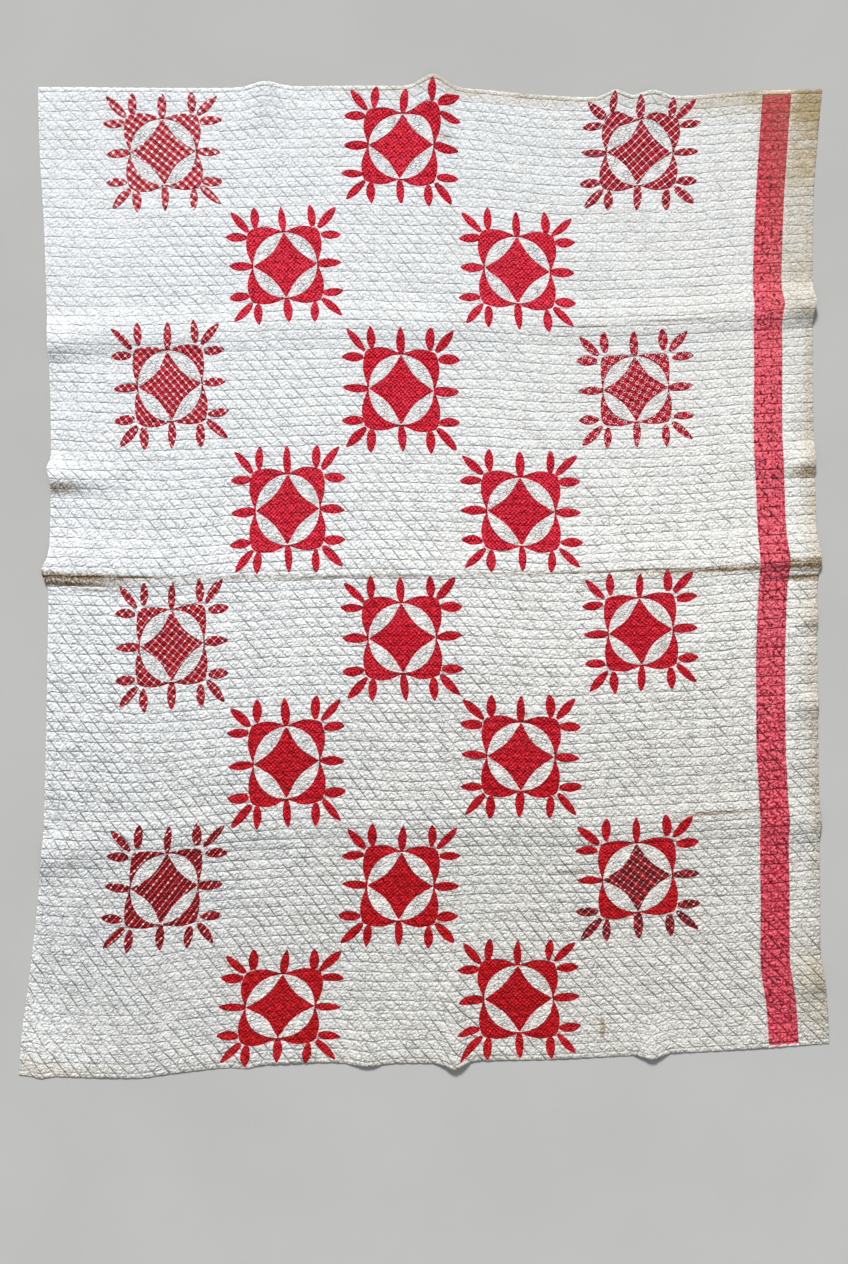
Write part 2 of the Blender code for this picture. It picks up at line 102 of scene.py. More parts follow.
# Ridges left by folding, and puckers at the edges, through (along, line, rise). `reach` is the half
# width above or left of the crest and `beyond` the one below or right of it.
Crease = namedtuple("Crease", "runs reach beyond stations")
CREASES = (
    Crease("across", 95, 42, ((0, 1003, 10), (90, 1006, 7), (200, 1010, 3.5), (830, 1017, 2.5),
                              (1440, 1012, 3.5), (1530, 1010, 6), (1660, 1006, 10))),
    Crease("across", 65, 50, ((0, 530, 13), (170, 512, 5), (830, 500, 3), (1490, 474, 5), (1660, 466, 13))),
    Crease("across", 65, 55, ((0, 1602, 9), (170, 1560, 4), (830, 1545, 3), (1490, 1560, 4), (1660, 1575, 8))),
    Crease("across", 55, 38, ((0, 812, 13), (80, 812, 7), (180, 808, 0))),
    Crease("across", 52, 36, ((1540, 806, 0), (1610, 802, 5), (1660, 800, 11))),
    Crease("across", 45, 32, ((1600, 1140, 0), (1660, 1138, 7))),
    Crease("across", 45, 32, ((1600, 1322, 0), (1660, 1322, 6))),
    Crease("across", 60, 45, ((1560, 1918, 0), (1660, 1912, 11))),
    Crease("down", 52, 45, ((0, 480, 8), (95, 492, 0))),
    Crease("down", 58, 48, ((0, 836, 13), (60, 848, 7), (140, 862, 0))),
    Crease("down", 45, 40, ((0, 1224, 7), (75, 1228, 0))),
    Crease("down", 45, 40, ((0, 1300, 7), (80, 1306, 0))),
    Crease("down", 58, 40, ((1780, 862, 0), (1930, 882, 5), (2050, 897, 8))),
    Crease("down", 48, 40, ((1970, 716, 0), (2050, 713, 4))),
    Crease("down", 45, 40, ((1980, 1296, 0), (2050, 1297, 6))),
)

# Unevenness as sums of plane waves: height, shortest and longest wave, seed of their draws, number.
Waves = namedtuple("Waves", "height shortest longest seed number", defaults=(12,))
LEVEL_SWING, LEVEL_SHAKE = Waves(0.0017, 0.16, 0.60, 21), Waves(0.0008, 0.035, 0.090, 22)
SLANT_SWING, SLANT_SHAKE = Waves(0.0024, 0.16, 0.60, 23), Waves(0.0011, 0.040, 0.100, 24)
SLANT_DEPTHS = Waves(0.25, 0.15, 0.50, 31)
PUFF_HEIGHTS = Waves(0.17, 0.020, 0.090, 32, 18)
WRINKLES = Waves(1.0, 0.0075, 0.0150, 33, 26)
SWELLING = Waves(1.0, 0.12, 0.40, 34)
RELIEF_PATCHES = Waves(0.15, 0.15, 0.50, 35)

# Level lines are drawn down where slanting ones cross them, and are straight at top and bottom.
CROSSING_DRAW = 0.0005
STRAIGHT_MARGIN = 0.030

# A puff's roundness between level lines and between slanting ones: the less, the fuller.
LEVEL_ROUNDNESS = 0.42
SLANT_ROUNDNESS = 0.50
THINNEST = 0.0009
HEM_RISE, HEM_STEP = 0.00025, (0.0070, 0.0100)   # the turned-in hem, and where it ends
RIM_ROUNDING = 0.0026
SEAM_ROUNDING = 0.0016

# Zones of the cloth, each the two places between which it comes in.
MIDDLE_FROM, MIDDLE_TO = (0.20, 0.45), (1.10, 1.35)
LOWER_LEFT_DOWN, LOWER_LEFT_ACROSS = (1.50, 1.85), (0.05, 0.40)
UPPER_RIGHT_ACROSS, UPPER_RIGHT_DOWN = (1.20, 1.55), (0.35, 0.75)
RIGHT_HALF = (0.95, 1.35)
BELOW_TOP, LOWER_HALF, LOW_MIDDLE, FOOT = (0.25, 1.50), (0.3, 1.6), (1.42, 1.65), (1.68, 1.85)
REEL_EDGE = (0.066, 0.075)

# The motifs: row and column of the checkerboard, the centre's place on the cloth, how far the side
# leaves reach across and down, mm, the turn, and the print.
Motif = namedtuple("Motif", "row column across down wide tall turn_deg cloth", defaults=("Plain Red",))
MOTIFS = (
    Motif(1, 1, 264, 133, 123, 121, 1, "Gingham"),
    Motif(1, 3, 772, 127, 122, 120, -2),
    Motif(1, 5, 1280, 123, 122, 118, 0, "Windowpane"),
    Motif(2, 2, 519, 374, 122, 121, 1),
    Motif(2, 4, 1021, 375, 124, 124, 0),
    Motif(3, 1, 261, 617, 122, 129, 2, "Close Lattice"),
    Motif(3, 3, 764, 637, 125, 130, -1),
    Motif(3, 5, 1274, 625, 124, 123, 1, "Little Squares"),
    Motif(4, 2, 515, 886, 122, 131, 0),
    Motif(4, 4, 1021, 887, 129, 127, 1),
    Motif(5, 1, 268, 1156, 121, 132, 1, "Lattice"),
    Motif(5, 3, 765, 1158, 128, 129, 2),
    Motif(5, 5, 1279, 1144, 121, 126, 2),
    Motif(6, 2, 518, 1416, 124, 134, 1),
    Motif(6, 4, 1021, 1406, 127, 128, 0),
    Motif(7, 1, 266, 1659, 126, 129, -1, "Dotted Stripe"),
    Motif(7, 3, 769, 1678, 124, 127, 0),
    Motif(7, 5, 1272, 1670, 128, 129, 2, "Plaid"),
    Motif(8, 2, 531, 1927, 126, 118, -2),
    Motif(8, 4, 1025, 1919, 125, 125, 0),
)

# One motif, mm from its centre, +x to the right and +y up.
REEL_TIP = 71
DIAMOND_SIDE_DIP = 11
CORNER_FROM, CORNER_TO = 0.7, 89.3       # degrees from the top
CORNER_PIECE = ((CORNER_FROM, 72.3), (12, 80.5), (25.3, 93.5), (38, 104), (45, 108.5), (52, 104),
                (64.7, 93.5), (78, 80.5), (CORNER_TO, 72.3))     # (degrees, radius) round its outer side
SQUARE_POWER, SQUARE_HALF = 14, REEL_TIP + 2.5   # of the superellipse of a square corner piece
Leaf = namedtuple("Leaf", "root_x root_y direction_deg length half_width")
LEAVES = {
    "side": Leaf(0, 71.2, 90, 54.8, 9.6),
    "flank": Leaf(64, 82, 90, 46, 10.0),
    "diagonal": Leaf(76.5, 79, 45, 58, 9.3),
    "lower flank": Leaf(82, 64, 0, 46, 10.0),
}
LEAF_REACH = LEAVES["side"].root_y + LEAVES["side"].length
LEAF_TURN_DEG, LEAF_LONGEST, LEAF_LENGTH_SHARE, LEAF_WIDTH_SHARE = 5, 1.045, 0.07, 0.10    # how leaves differ
LEAF_ENDS, LEAF_STEM, LEAF_TRIM = 0.5, 1.9, 0.8   # half widths added all along and at the root, and taken off
PATCH_COVER = 0.49                       # the pieces' share of a motif's square
TURNED_EDGE, EDGE_SINK = 0.00035, 0.35   # a turned edge: how soon it rises, and how deep it's sunk, as a share
PLAIN_GRAIN_DEG = 45
PEBBLE_PITCH, PEBBLE_HEIGHT = 0.0062, 0.0008   # of the close quilting on a motif
REEL_LINE_PITCH = 0.0078

# Where a hand-cut motif differs from the rest, by (row, column). How square its corner pieces are: 0
# for the outer side above, 1 for a straight one. How much more it has faded.
SQUARE_CORNERS = {(1, 1): 0.1, (3, 1): 0.35, (3, 5): 0.8, (5, 1): 0.55, (5, 5): 0.3, (7, 1): 0.7, (7, 5): 0.25}
LOWER_CORNER_SHARE = 0.6
FADED_MOTIFS = {(2, 2): 0.26, (2, 4): 0.22, (4, 2): 0.24, (4, 4): 0.10, (1, 3): 0.06, (6, 4): -0.08}
FADED_LOW_LEAVES = {(8, 2): 0.45, (8, 4): 0.45}
# In the plaid motif these pieces, (quarter, piece), are plaid and the others plain red.
PLAID_PIECES = {(quarter, piece) for quarter in (1, 2) for piece in LEAVES}

# Random draws of one motif: of its leaves, its cutting, and the cloth of its pieces.
LEAF_DRAWS, CUTTING_DRAWS, CLOTH_DRAWS = 0, 500, 900

# Where age has toned the cloth: (across, down, reach across, reach down, strength), mm.
TANNED = ((1660, 0, 190, 400, 1.0), (1560, 0, 360, 80, 0.75), (1668, 1000, 66, 1150, 0.42),
          (1655, 1930, 95, 170, 0.55), (20, 2045, 330, 45, 0.40), (0, 2050, 110, 90, 0.25),
          (1196, 1984, 9, 38, 0.8), (900, 2050, 900, 26, 0.22), (1640, 250, 130, 470, 0.50),
          (838, 0, 90, 26, 0.65), (1000, 0, 640, 34, 0.45))
# Brown stains and soil: (across, down, reach across, reach down, strength), mm. Below the folds' ridges the brown is
# partly painted shadow.
BROWNED = ((15, 1018, 110, 21, 1.7), (100, 1018, 120, 19, 1.2), (200, 1016, 150, 13, 0.4),
           (420, 1024, 300, 7, 0.35), (1640, 1017, 120, 18, 1.8), (1640, 1046, 110, 9, 1.4),
           (1540, 1020, 130, 13, 1.2), (1400, 1019, 170, 9, 1.0), (22, 830, 60, 22, 0.75),
           (1640, 822, 62, 24, 0.90), (1642, 478, 60, 18, 0.60), (1650, 1150, 46, 20, 0.40),
           (1648, 1335, 40, 18, 0.35), (1194, 1984, 9, 36, 0.3), (1273, 1440, 12, 10, 0.45),
           (1384, 1491, 10, 10, 0.5), (863, 110, 26, 8, 0.75), (1652, 640, 20, 480, 0.30),
           (1652, 1500, 18, 500, 0.26), (1640, 20, 60, 60, 0.45), (1455, 1540, 130, 6, 0.55),
           (1134, 1651, 60, 5, 0.4))
# Sharp creases along the half fold and, fainter, along the others, darkened by soil and by painted shade under the
# folds' crests.
CREASED = ((60, 1015, 130, 5.5, 1.2), (60, 1030, 120, 5.5, 1.2), (120, 1042, 90, 4.5, 0.9),
           (160, 1013, 120, 5, 1.1), (283, 1015, 130, 4.5, 0.5), (413, 1022, 130, 4.5, 0.5),
           (608, 1030, 190, 5, 0.8), (802, 1027, 170, 5, 0.8), (1000, 1020, 150, 5, 0.8),
           (1150, 1015, 130, 5, 0.7), (1278, 1013, 140, 5, 0.9), (1408, 1020, 110, 5, 1.1),
           (1500, 1023, 110, 5.5, 1.2), (1600, 1022, 90, 6, 1.2), (1600, 1045, 110, 5.5, 1.1),
           (1160, 491, 150, 4.5, 0.6), (1370, 482, 150, 4.5, 0.7), (1440, 1541, 160, 4.5, 0.7),
           (1134, 1651, 70, 4, 0.6))

# Soil, painted shade and tinges that are multiplied into a colour. The soil along the stitches, in the folds' creases
# and on the prints is partly painted shade there. The rose strip's soil and painted shade is painted on, and LOWER_RED
# is what the red is multiplied by at the foot of the quilt.
# Soil and painted shade along the stitched grooves and fine creases.
STITCH_SOIL_AND_SHADE = (0.16, 0.16, 0.15)
HOLLOW_SHADE = (0.10, 0.10, 0.10)
# Soil and painted shade in the folds' sharp creases.
FOLD_SOIL_AND_SHADE = (0.30, 0.22, 0.13)
REEL_TINGE = (0.82, 0.72, 0.70)
ROSE_TONING = (0.55, 0.50, 0.40)
# Stains, soil and painted shade in and below the folds, painted onto the rose strip.
ROSE_SOIL_AND_SHADE = (0.10, 0.012, 0.016)
TURNED_SHADE = (0.30, 0.22, 0.22)
SQUARE_SHADE = (0.30, 0.16, 0.18)
# Soil and painted shade in the stitched grooves of the prints.
PRINT_SOIL_AND_SHADE = (0.30, 0.12, 0.13)
LOWER_RED = (0.77, 0.38, 0.30)

THREAD = 0.0009            # from one thread of the weave to the next

# The stage: the height that the camera sees, how far from the middle it stands, and the floor.
FRAME_HEIGHT = 1264 * 0.00209
CAMERA_DOWN = -0.114
FLOOR_REACH, FLOOR_HEIGHT = 14.0, -0.0006


def length_setting(name, description, default, least=0.0):
    """A length that a user may change."""
    return bpy.props.FloatProperty(name=name, description=description, default=default, min=least, unit="LENGTH")


def colour_setting(name, description, *default):
    """A colour that a user may change."""
    return bpy.props.FloatVectorProperty(name=name, description=description, default=default,
                                         min=0, max=1, subtype="COLOR")


class QuiltSizes(bpy.types.PropertyGroup):
    """Sizes of the quilting and the applique."""
    stitched: length_setting("Stitched Thickness", "Thickness along a line of quilting", 0.0018, 0.0005)
    puff_rise: length_setting("Puff Rise", "Height of a puff above the lines of stitches round it", 0.0017)
    slant_depth: bpy.props.FloatProperty(
        name="Slant Depth", description="Share of a puff's height that a slanting line takes away",
        default=0.80, min=0.0, max=1.0, subtype="FACTOR")
    crinkle: length_setting("Crinkle", "Height of the fine creases left by washing", 0.00026)
    swell: length_setting("Swell", "Height of the soft unevenness of the whole cloth", 0.0009)
    rim: length_setting("Rim", "Height of the whipped edge above the underside", 0.0010, 0.0002)
    seam: length_setting("Seam", "Thickness in the seams on both sides of the rose strip", 0.0012, 0.0002)
    applique: length_setting("Applique", "How far the applique stands above the field", 0.00085, 0.0002)
    camera_height: length_setting("Camera Height", "Height of the camera above the quilt", 3.3, 1.0)


class QuiltColours(bpy.types.PropertyGroup):
    """Colours of the cloths and of their age."""
    cool_white: colour_setting("Cool White", "White cotton where it's best kept", 0.855, 0.885, 0.905)
    warm_white: colour_setting("Warm White", "White cotton towards the lower right", 0.865, 0.85, 0.795)
    tan: colour_setting("Tan", "White cotton toned by age and light", 0.50, 0.40, 0.24)
    # The brown below the folds' ridges is partly painted shadow.
    brown: colour_setting("Brown", "Soil in the folds, and stains", 0.31, 0.205, 0.075)
    rose: colour_setting("Rose", "Cotton of the long strip", 0.56, 0.043, 0.072)
    # The faded colours are partly a painted highlight on the tops of puffs, and the deep red partly painted shade in
    # creases.
    faded_rose: colour_setting("Faded Rose", "The strip's cotton where it has faded", 0.84, 0.165, 0.21)
    red: colour_setting("Red", "Turkey red cotton of the motifs", 0.57, 0.006, 0.020)
    faded_red: colour_setting("Faded Red", "Red cotton on the tops of its puffs", 0.84, 0.044, 0.085)
    deep_red: colour_setting("Deep Red", "Red cotton in its creases", 0.20, 0.001, 0.005)
    print_white: colour_setting("Print White", "White threads and figures of the printed reds", 0.92, 0.86, 0.85)
    print_dark: colour_setting("Print Dark", "Dark bands of the plaid", 0.11, 0.002, 0.004)
    floor: colour_setting("Floor", "The plain floor", 0.42, 0.42, 0.41)


# The flat cloth, and how it's laid.

def smooth_between(rows, at):
    """Cubic curve through (place, value) rows, level beyond both ends."""
    places, values = (np.array(column, float) for column in zip(*rows))
    order = np.arange(len(places))
    before, after = np.maximum(order - 1, 0), np.minimum(order + 1, len(places) - 1)
    slopes = (values[after] - values[before]) / (places[after] - places[before])
    at = np.clip(at, places[0], places[-1])
    left = np.clip(np.searchsorted(places, at, side="right") - 1, 0, len(places) - 2)
    span = places[left + 1] - places[left]
    s = (at - places[left]) / span
    return ((2 * s**3 - 3 * s**2 + 1) * values[left] + (s**3 - 2 * s**2 + s) * span * slopes[left]
            + (3 * s**2 - 2 * s**3) * values[left + 1] + (s**3 - s**2) * span * slopes[left + 1])


def ease(value, low, high):
    """0 up to low and 1 from high, with a smooth step between them."""
    share = np.clip((value - low) / (high - low), 0.0, 1.0)
    return share * share * (3 - 2 * share)


def uneven(across, down, waves):
    """Smooth unevenness: a sum of plane waves over the root of their number, times their height.

    Their lengths lie between the two given, and their directions and phases are drawn at random.
    """
    rng = np.random.default_rng(waves.seed)
    total = np.zeros(np.broadcast(across, down).shape)
    for _ in range(waves.number):
        turn, phase = rng.uniform(0, 2 * math.pi, 2)
        number = 2 * math.pi / rng.uniform(waves.shortest, waves.longest)
        total += np.sin(number * (across * math.cos(turn) + down * math.sin(turn)) + phase)
    return waves.height * (total / math.sqrt(waves.number))


def rippled(ripples, along, depth):
    """How far an edge's ripples carry a place that lies `depth` inside that edge: a sum of bells."""
    total = sum(out * np.exp(-((along / MM - at) / half_width) ** 2) for at, out, half_width in ripples)
    return total * MM * np.exp(-(depth / RIPPLE_REACH) ** 2)


def laid_out(across, down):
    """Where a place on the cloth lies, seen from above, from the middle of the cloth's box.

    The corners' places in proportion to u and v, the shares of the way across and down; plus the
    edges' bows, each in proportion to the nearness of its edge; plus their ripples.
    """
    room = np.where(across < STRIP_MIDDLE, DRIFT_ROOM, CLOTH_WIDTH - STRIP_MIDDLE)
    share = np.maximum(0.0, 1.0 - np.abs(across - STRIP_MIDDLE) / room)
    across = across + share * smooth_between(STRIP_DRIFT, down / MM) * MM
    u, v = across / CLOTH_WIDTH, down / CLOTH_LENGTH
    shares = {"top_left": (1 - u) * (1 - v), "top_right": u * (1 - v),
              "bottom_left": (1 - u) * v, "bottom_right": u * v}
    x, y = (sum(share * CORNERS[name][axis] for name, share in shares.items()) for axis in (0, 1))
    y = y + (1 - v) * smooth_between(TOP_BOW, across / MM) - v * smooth_between(BOTTOM_BOW, across / MM)
    x = x - (1 - u) * smooth_between(LEFT_BOW, down / MM) + u * smooth_between(RIGHT_BOW, down / MM)
    x, y = x * MM, y * MM
    y = y + rippled(TOP_RIPPLES, across, down) - rippled(BOTTOM_RIPPLES, across, CLOTH_LENGTH - down)
    x = x - rippled(LEFT_RIPPLES, down, across) + rippled(RIGHT_RIPPLES, down, CLOTH_WIDTH - across)
    return x, y


def box_middle(steps=400):
    """Middle of the laid cloth's box, found along its four edges."""
    share = np.linspace(0.0, 1.0, steps + 1)
    across = np.concatenate((share * CLOTH_WIDTH, share * CLOTH_WIDTH, share * 0, share * 0 + CLOTH_WIDTH))
    down = np.concatenate((share * 0, share * 0 + CLOTH_LENGTH, share * CLOTH_LENGTH, share * CLOTH_LENGTH))
    x, y = laid_out(across, down)
    return (x.min() + x.max()) / 2, (y.min() + y.max()) / 2


MIDDLE = box_middle()


def lift(across, down):
    """Height that the folds give the cloth: the root of the creases' summed squares.

    A crease's height is its crest's rise times (1 - (distance / reach)^2)^2.
    """
    total = np.zeros(np.broadcast(across, down).shape)
    for crease in CREASES:
        along, side = (across, down) if crease.runs == "across" else (down, across)
        stations = crease.stations
        line = smooth_between([row[:2] for row in stations], along / MM)
        rise = smooth_between([(row[0], row[2]) for row in stations], along / MM)
        distance = side / MM - line
        share = np.clip(distance / np.where(distance < 0, crease.reach, crease.beyond), -1, 1)
        within = (along >= stations[0][0] * MM - 1e-9) & (along <= stations[-1][0] * MM + 1e-9)
        total += np.where(within, np.maximum(rise, 0.0) * (1 - share**2) ** 2, 0.0) ** 2
    return np.sqrt(total) * MM


# The quilting.

def level_wander(across, row):
    """How far down a level line lies from its even place; it's drawn down where slanting ones cross."""
    room = np.clip(np.minimum(row, CLOTH_LENGTH - row) / STRAIGHT_MARGIN, 0.0, 1.0)
    drawn = CROSSING_DRAW * np.cos(2 * np.pi * (across - SLANT * row) / SLANT_PITCH)
    return room * (drawn + uneven(across, row, LEVEL_SWING) + uneven(across, row, LEVEL_SHAKE))


def slant_wander(across, row):
    """How far across a slanting line lies from its even place."""
    return uneven(across, row, SLANT_SWING) + uneven(across, row, SLANT_SHAKE)


def line_counts(across, down):
    """A place's number of lines from the top and of slanting lines, whole numbers on the lines."""
    row = down
    for _ in range(3):
        row = down - level_wander(across, row)
    even = across - slant_wander(across, row)
    return (even - SLANT * row) / SLANT_PITCH, row / LINE_PITCH - 0.5


def relief(across, down):
    """How strongly the quilting stands out.

    It's softer towards the top, the sides and the lower left corner, and strongest low in the middle.
    """
    middle = ease(across, *MIDDLE_FROM) * (1 - ease(across, *MIDDLE_TO))
    corner = ease(down, *LOWER_LEFT_DOWN) * (1 - ease(across, *LOWER_LEFT_ACROSS))
    depth = 0.50 + 0.46 * ease(down, *BELOW_TOP) + 0.22 * middle * ease(down, *LOW_MIDDLE)
    return depth * (0.87 + 0.13 * middle) * (1 - 0.15 * corner) * (1 + uneven(across, down, RELIEF_PATCHES))


def reel_places(across, down):
    """How far a place is from its nearest motif's centre along that motif's two axes: |x| and |y|."""
    nearest = np.full(np.shape(across), np.inf)
    found_x, found_y = np.zeros_like(nearest), np.zeros_like(nearest)
    for row in MOTIFS:
        turn = math.radians(row.turn_deg)
        right, up = across - row.across * MM, row.down * MM - down
        x = (right * math.cos(turn) + up * math.sin(turn)) * LEAF_REACH / row.wide
        y = (up * math.cos(turn) - right * math.sin(turn)) * LEAF_REACH / row.tall
        away = np.hypot(x, y)
        found_x, found_y = np.where(away < nearest, x, found_x), np.where(away < nearest, y, found_y)
        nearest = np.minimum(away, nearest)
    return np.abs(found_x), np.abs(found_y)


def puffs(across, down, slants, levels, slant_depth):
    """Height of the puffs, 0 in a level line and about 1 on a puff, and how far a place is from that line.

    A puff rises as the sine of the way between two level lines, to a power, and is lower near a
    slanting line by the same rule. Slanting lines are shallower to the right, and most so at the
    upper right. Puffs are flatter inside a reel.
    """
    level = 1 - (1 - np.abs(np.sin(np.pi * levels)) ** LEVEL_ROUNDNESS) * (1 - 0.35 * ease(down, *FOOT))
    slanting = np.abs(np.sin(np.pi * slants)) ** SLANT_ROUNDNESS
    corner = ease(across, *UPPER_RIGHT_ACROSS) * (1 - ease(down, *UPPER_RIGHT_DOWN))
    depth = (slant_depth * (1 - 0.3 * corner) * (1 - 0.15 * ease(across, *RIGHT_HALF))
             * (1 + uneven(across, down, SLANT_DEPTHS)))
    puff = level * (1 - np.clip(depth, 0, 1) * (1 - slanting))
    in_reel = 1 - ease(np.hypot(*reel_places(across, down)), *REEL_EDGE)
    return puff * (1 - 0.5 * in_reel) + 0.40 * in_reel, level


def thickness(across, down, slants, levels, sizes):
    """Height of the cloth's face above its underside.

    The stitched thickness plus the puffs, which waves make uneven and crinkle. The face comes down
    to the rim and the seams as 1 - exp(-distance / rounding).
    """
    puff, level = puffs(across, down, slants, levels, sizes.slant_depth)
    strength = relief(across, down) * (1 + uneven(across, down, PUFF_HEIGHTS))
    wrinkle = uneven(across * 0.6, down, WRINKLES) * (0.55 + 0.75 * ease(down, *LOWER_HALF))
    full = (sizes.stitched + sizes.puff_rise * puff * strength + sizes.crinkle * wrinkle * (0.3 + 0.7 * level)
            + sizes.swell * uneven(across, down, SWELLING))
    full = np.maximum(full, THINNEST)
    inset = np.minimum(np.minimum(across, CLOTH_WIDTH - across), np.minimum(down, CLOTH_LENGTH - down))
    full = full + HEM_RISE * (1 - ease(inset, *HEM_STEP))
    full = sizes.rim + (full - sizes.rim) * (1 - np.exp(-inset / RIM_ROUNDING))
    seam = np.minimum(np.abs(across - STRIP_LEFT), np.abs(across - STRIP_RIGHT))
    return sizes.seam + (full - sizes.seam) * (1 - np.exp(-seam / SEAM_ROUNDING))


def drawn_in(across, down, slants, levels):
    """The cloth's places with its rim drawn in where the lines of stitches end."""
    def moved(place, length, lines):
        pull = RIM_PULL * (1 - np.abs(np.sin(np.pi * lines))) ** 2
        return place + pull * np.exp(-place / RIM_PULL_REACH) - pull * np.exp(-(length - place) / RIM_PULL_REACH)
    return moved(across, CLOTH_WIDTH, levels), moved(down, CLOTH_LENGTH, slants)


def face_points(across, down, sizes, rise=0.0):
    """Points of the quilt's face, raised by `rise`, and the counts of its lines there."""
    slants, levels = line_counts(across, down)
    x, y = laid_out(*drawn_in(across, down, slants, levels))
    z = lift(across, down) + thickness(across, down, slants, levels, sizes) + rise
    return np.stack((x - MIDDLE[0], y - MIDDLE[1], z), axis=-1), slants, levels


def cloth_rows():
    """Rows of the quilted face: six to each level line, closest beside the line, and the rims'."""
    lines = (np.arange(-1, LINE_COUNT)[:, None] + 0.5 + LINE_STEPS[None, :]).ravel() * LINE_PITCH
    clear = RIM_STEPS[-1] + 0.001
    lines = lines[(lines > clear) & (lines < CLOTH_LENGTH - clear)]
    return np.concatenate((RIM_STEPS, lines, (CLOTH_LENGTH - RIM_STEPS)[::-1]))


def sheared_grid(left, right, rows):
    """Places of a panel's face, and its triangles.

    Rows follow the level lines and columns the slanting ones. A column that would leave the panel
    stays on its side, where a few columns follow the rim or the seam.
    """
    low, high = left + RIM_STEPS[-1], right - RIM_STEPS[-1]
    numbers = np.arange(math.floor(-SLANT * CLOTH_LENGTH / SLANT_PITCH) - 1, math.ceil(CLOTH_WIDTH / SLANT_PITCH) + 2)
    starts = (numbers[:, None] + LINE_STEPS[None, :]).ravel() * SLANT_PITCH
    row = rows[:, None]
    even = starts[None, :] + SLANT * row
    across = even + slant_wander(even, row)
    first = (across <= low).sum(axis=1)[:, None] - 1
    last = (across < high).sum(axis=1)[:, None]
    column = np.arange(len(starts))[None, :]
    kept = (column >= first) & (column <= last)
    across = np.clip(across, low, high)
    side = np.ones((len(rows), len(RIM_STEPS) - 1))
    across = np.hstack((side * (left + RIM_STEPS[:-1]), across, side * (right - RIM_STEPS[:-1])[::-1]))
    kept = np.hstack((side > 0, kept, side > 0))
    number = (np.cumsum(kept) - 1).reshape(kept.shape)
    margin = side.shape[1]
    nearest = np.clip(column, first, last) + margin
    inner = np.take_along_axis(number, nearest, axis=1)
    ids = np.hstack((number[:, :margin], inner, number[:, -margin:]))
    down = np.broadcast_to(row, across.shape)
    across, down = across[kept], down[kept]
    return across, down + level_wander(across, down), split_cells(ids)


def split_cells(ids):
    """Two triangles for each cell of a grid of point numbers, without those that have no width."""
    a, b, c, d = ids[:-1, :-1], ids[:-1, 1:], ids[1:, 1:], ids[1:, :-1]
    triangles = np.concatenate((np.stack((a, d, b), -1).reshape(-1, 3), np.stack((b, d, c), -1).reshape(-1, 3)))
    return triangles[(triangles != np.roll(triangles, 1, axis=1)).all(axis=1)]


def cloth_piece(name, points, triangles, maps, materials, slot_of_face=None):
    """A mesh object from arrays of points and triangles, with its UV maps and materials."""
    mesh = bpy.data.meshes.new(name)
    mesh.vertices.add(len(points))
    mesh.vertices.foreach_set("co", points.astype(np.float32).ravel())
    mesh.loops.add(triangles.size)
    mesh.loops.foreach_set("vertex_index", triangles.astype(np.int32).ravel())
    mesh.polygons.add(len(triangles))
    mesh.polygons.foreach_set("loop_start", np.arange(0, triangles.size, 3, dtype=np.int32))
    mesh.update(calc_edges=True)
    mesh.polygons.foreach_set("use_smooth", np.ones(len(mesh.polygons), bool))
    for map_name, (u, v) in maps.items():
        layer = mesh.uv_layers.new(name=map_name, do_init=False)
        layer.uv.foreach_set("vector", np.stack((u, v), -1)[triangles.ravel()].astype(np.float32).ravel())
    for material in materials:
        mesh.materials.append(material)
    if slot_of_face is not None:
        mesh.polygons.foreach_set("material_index", slot_of_face.astype(np.int32))
    obj = bpy.data.objects.new(name, mesh)
    bpy.context.scene.collection.objects.link(obj)
    return obj


def quilted_panel(name, left, right, rows, sizes, material):
    """One panel of the quilt's face between two sides and two rows."""
    across, down, triangles = sheared_grid(left, right, rows)
    points, slants, levels = face_points(across, down, sizes)
    maps = {"Cloth": (across, down), "Lines": (slants, levels), "Reel": reel_places(across, down)}
    return cloth_piece(name, points, triangles, maps, [material])


# The back.

def rim_places():
    """The face's places round the cloth's rim, side by side: top, right, bottom and left."""
    rows = cloth_rows()
    ends = []
    for row in (rows[0], rows[-1]):
        runs = [sheared_grid(left, right, np.array((row, row)))[0] for left, right in
                ((0.0, STRIP_LEFT), (STRIP_LEFT, STRIP_RIGHT), (STRIP_RIGHT, CLOTH_WIDTH))]
        ends.append(np.unique(np.concatenate([run[: len(run) // 2] for run in runs])))
    left, right = (rows + level_wander(np.full_like(rows, side), rows) for side in (0.0, CLOTH_WIDTH))
    return ends[0], right, ends[1], left


def strip_between(run, inside, rim, outside):
    """Triangles between two rows of points, side by side. Each next point, by its place, closes one."""
    on_run = np.repeat((True, False), (len(run) - 1, len(rim) - 1))
    on_run = on_run[np.argsort(np.concatenate((inside[1:], outside[1:])), kind="stable")]
    along_run, along_rim = np.cumsum(on_run), np.cumsum(~on_run)
    last_run, last_rim = run[along_run - on_run], rim[along_rim - ~on_run]
    return np.where(on_run[:, None], np.stack((run[along_run], last_run, last_rim), -1),
                    np.stack((last_run, last_rim, rim[along_rim]), -1))


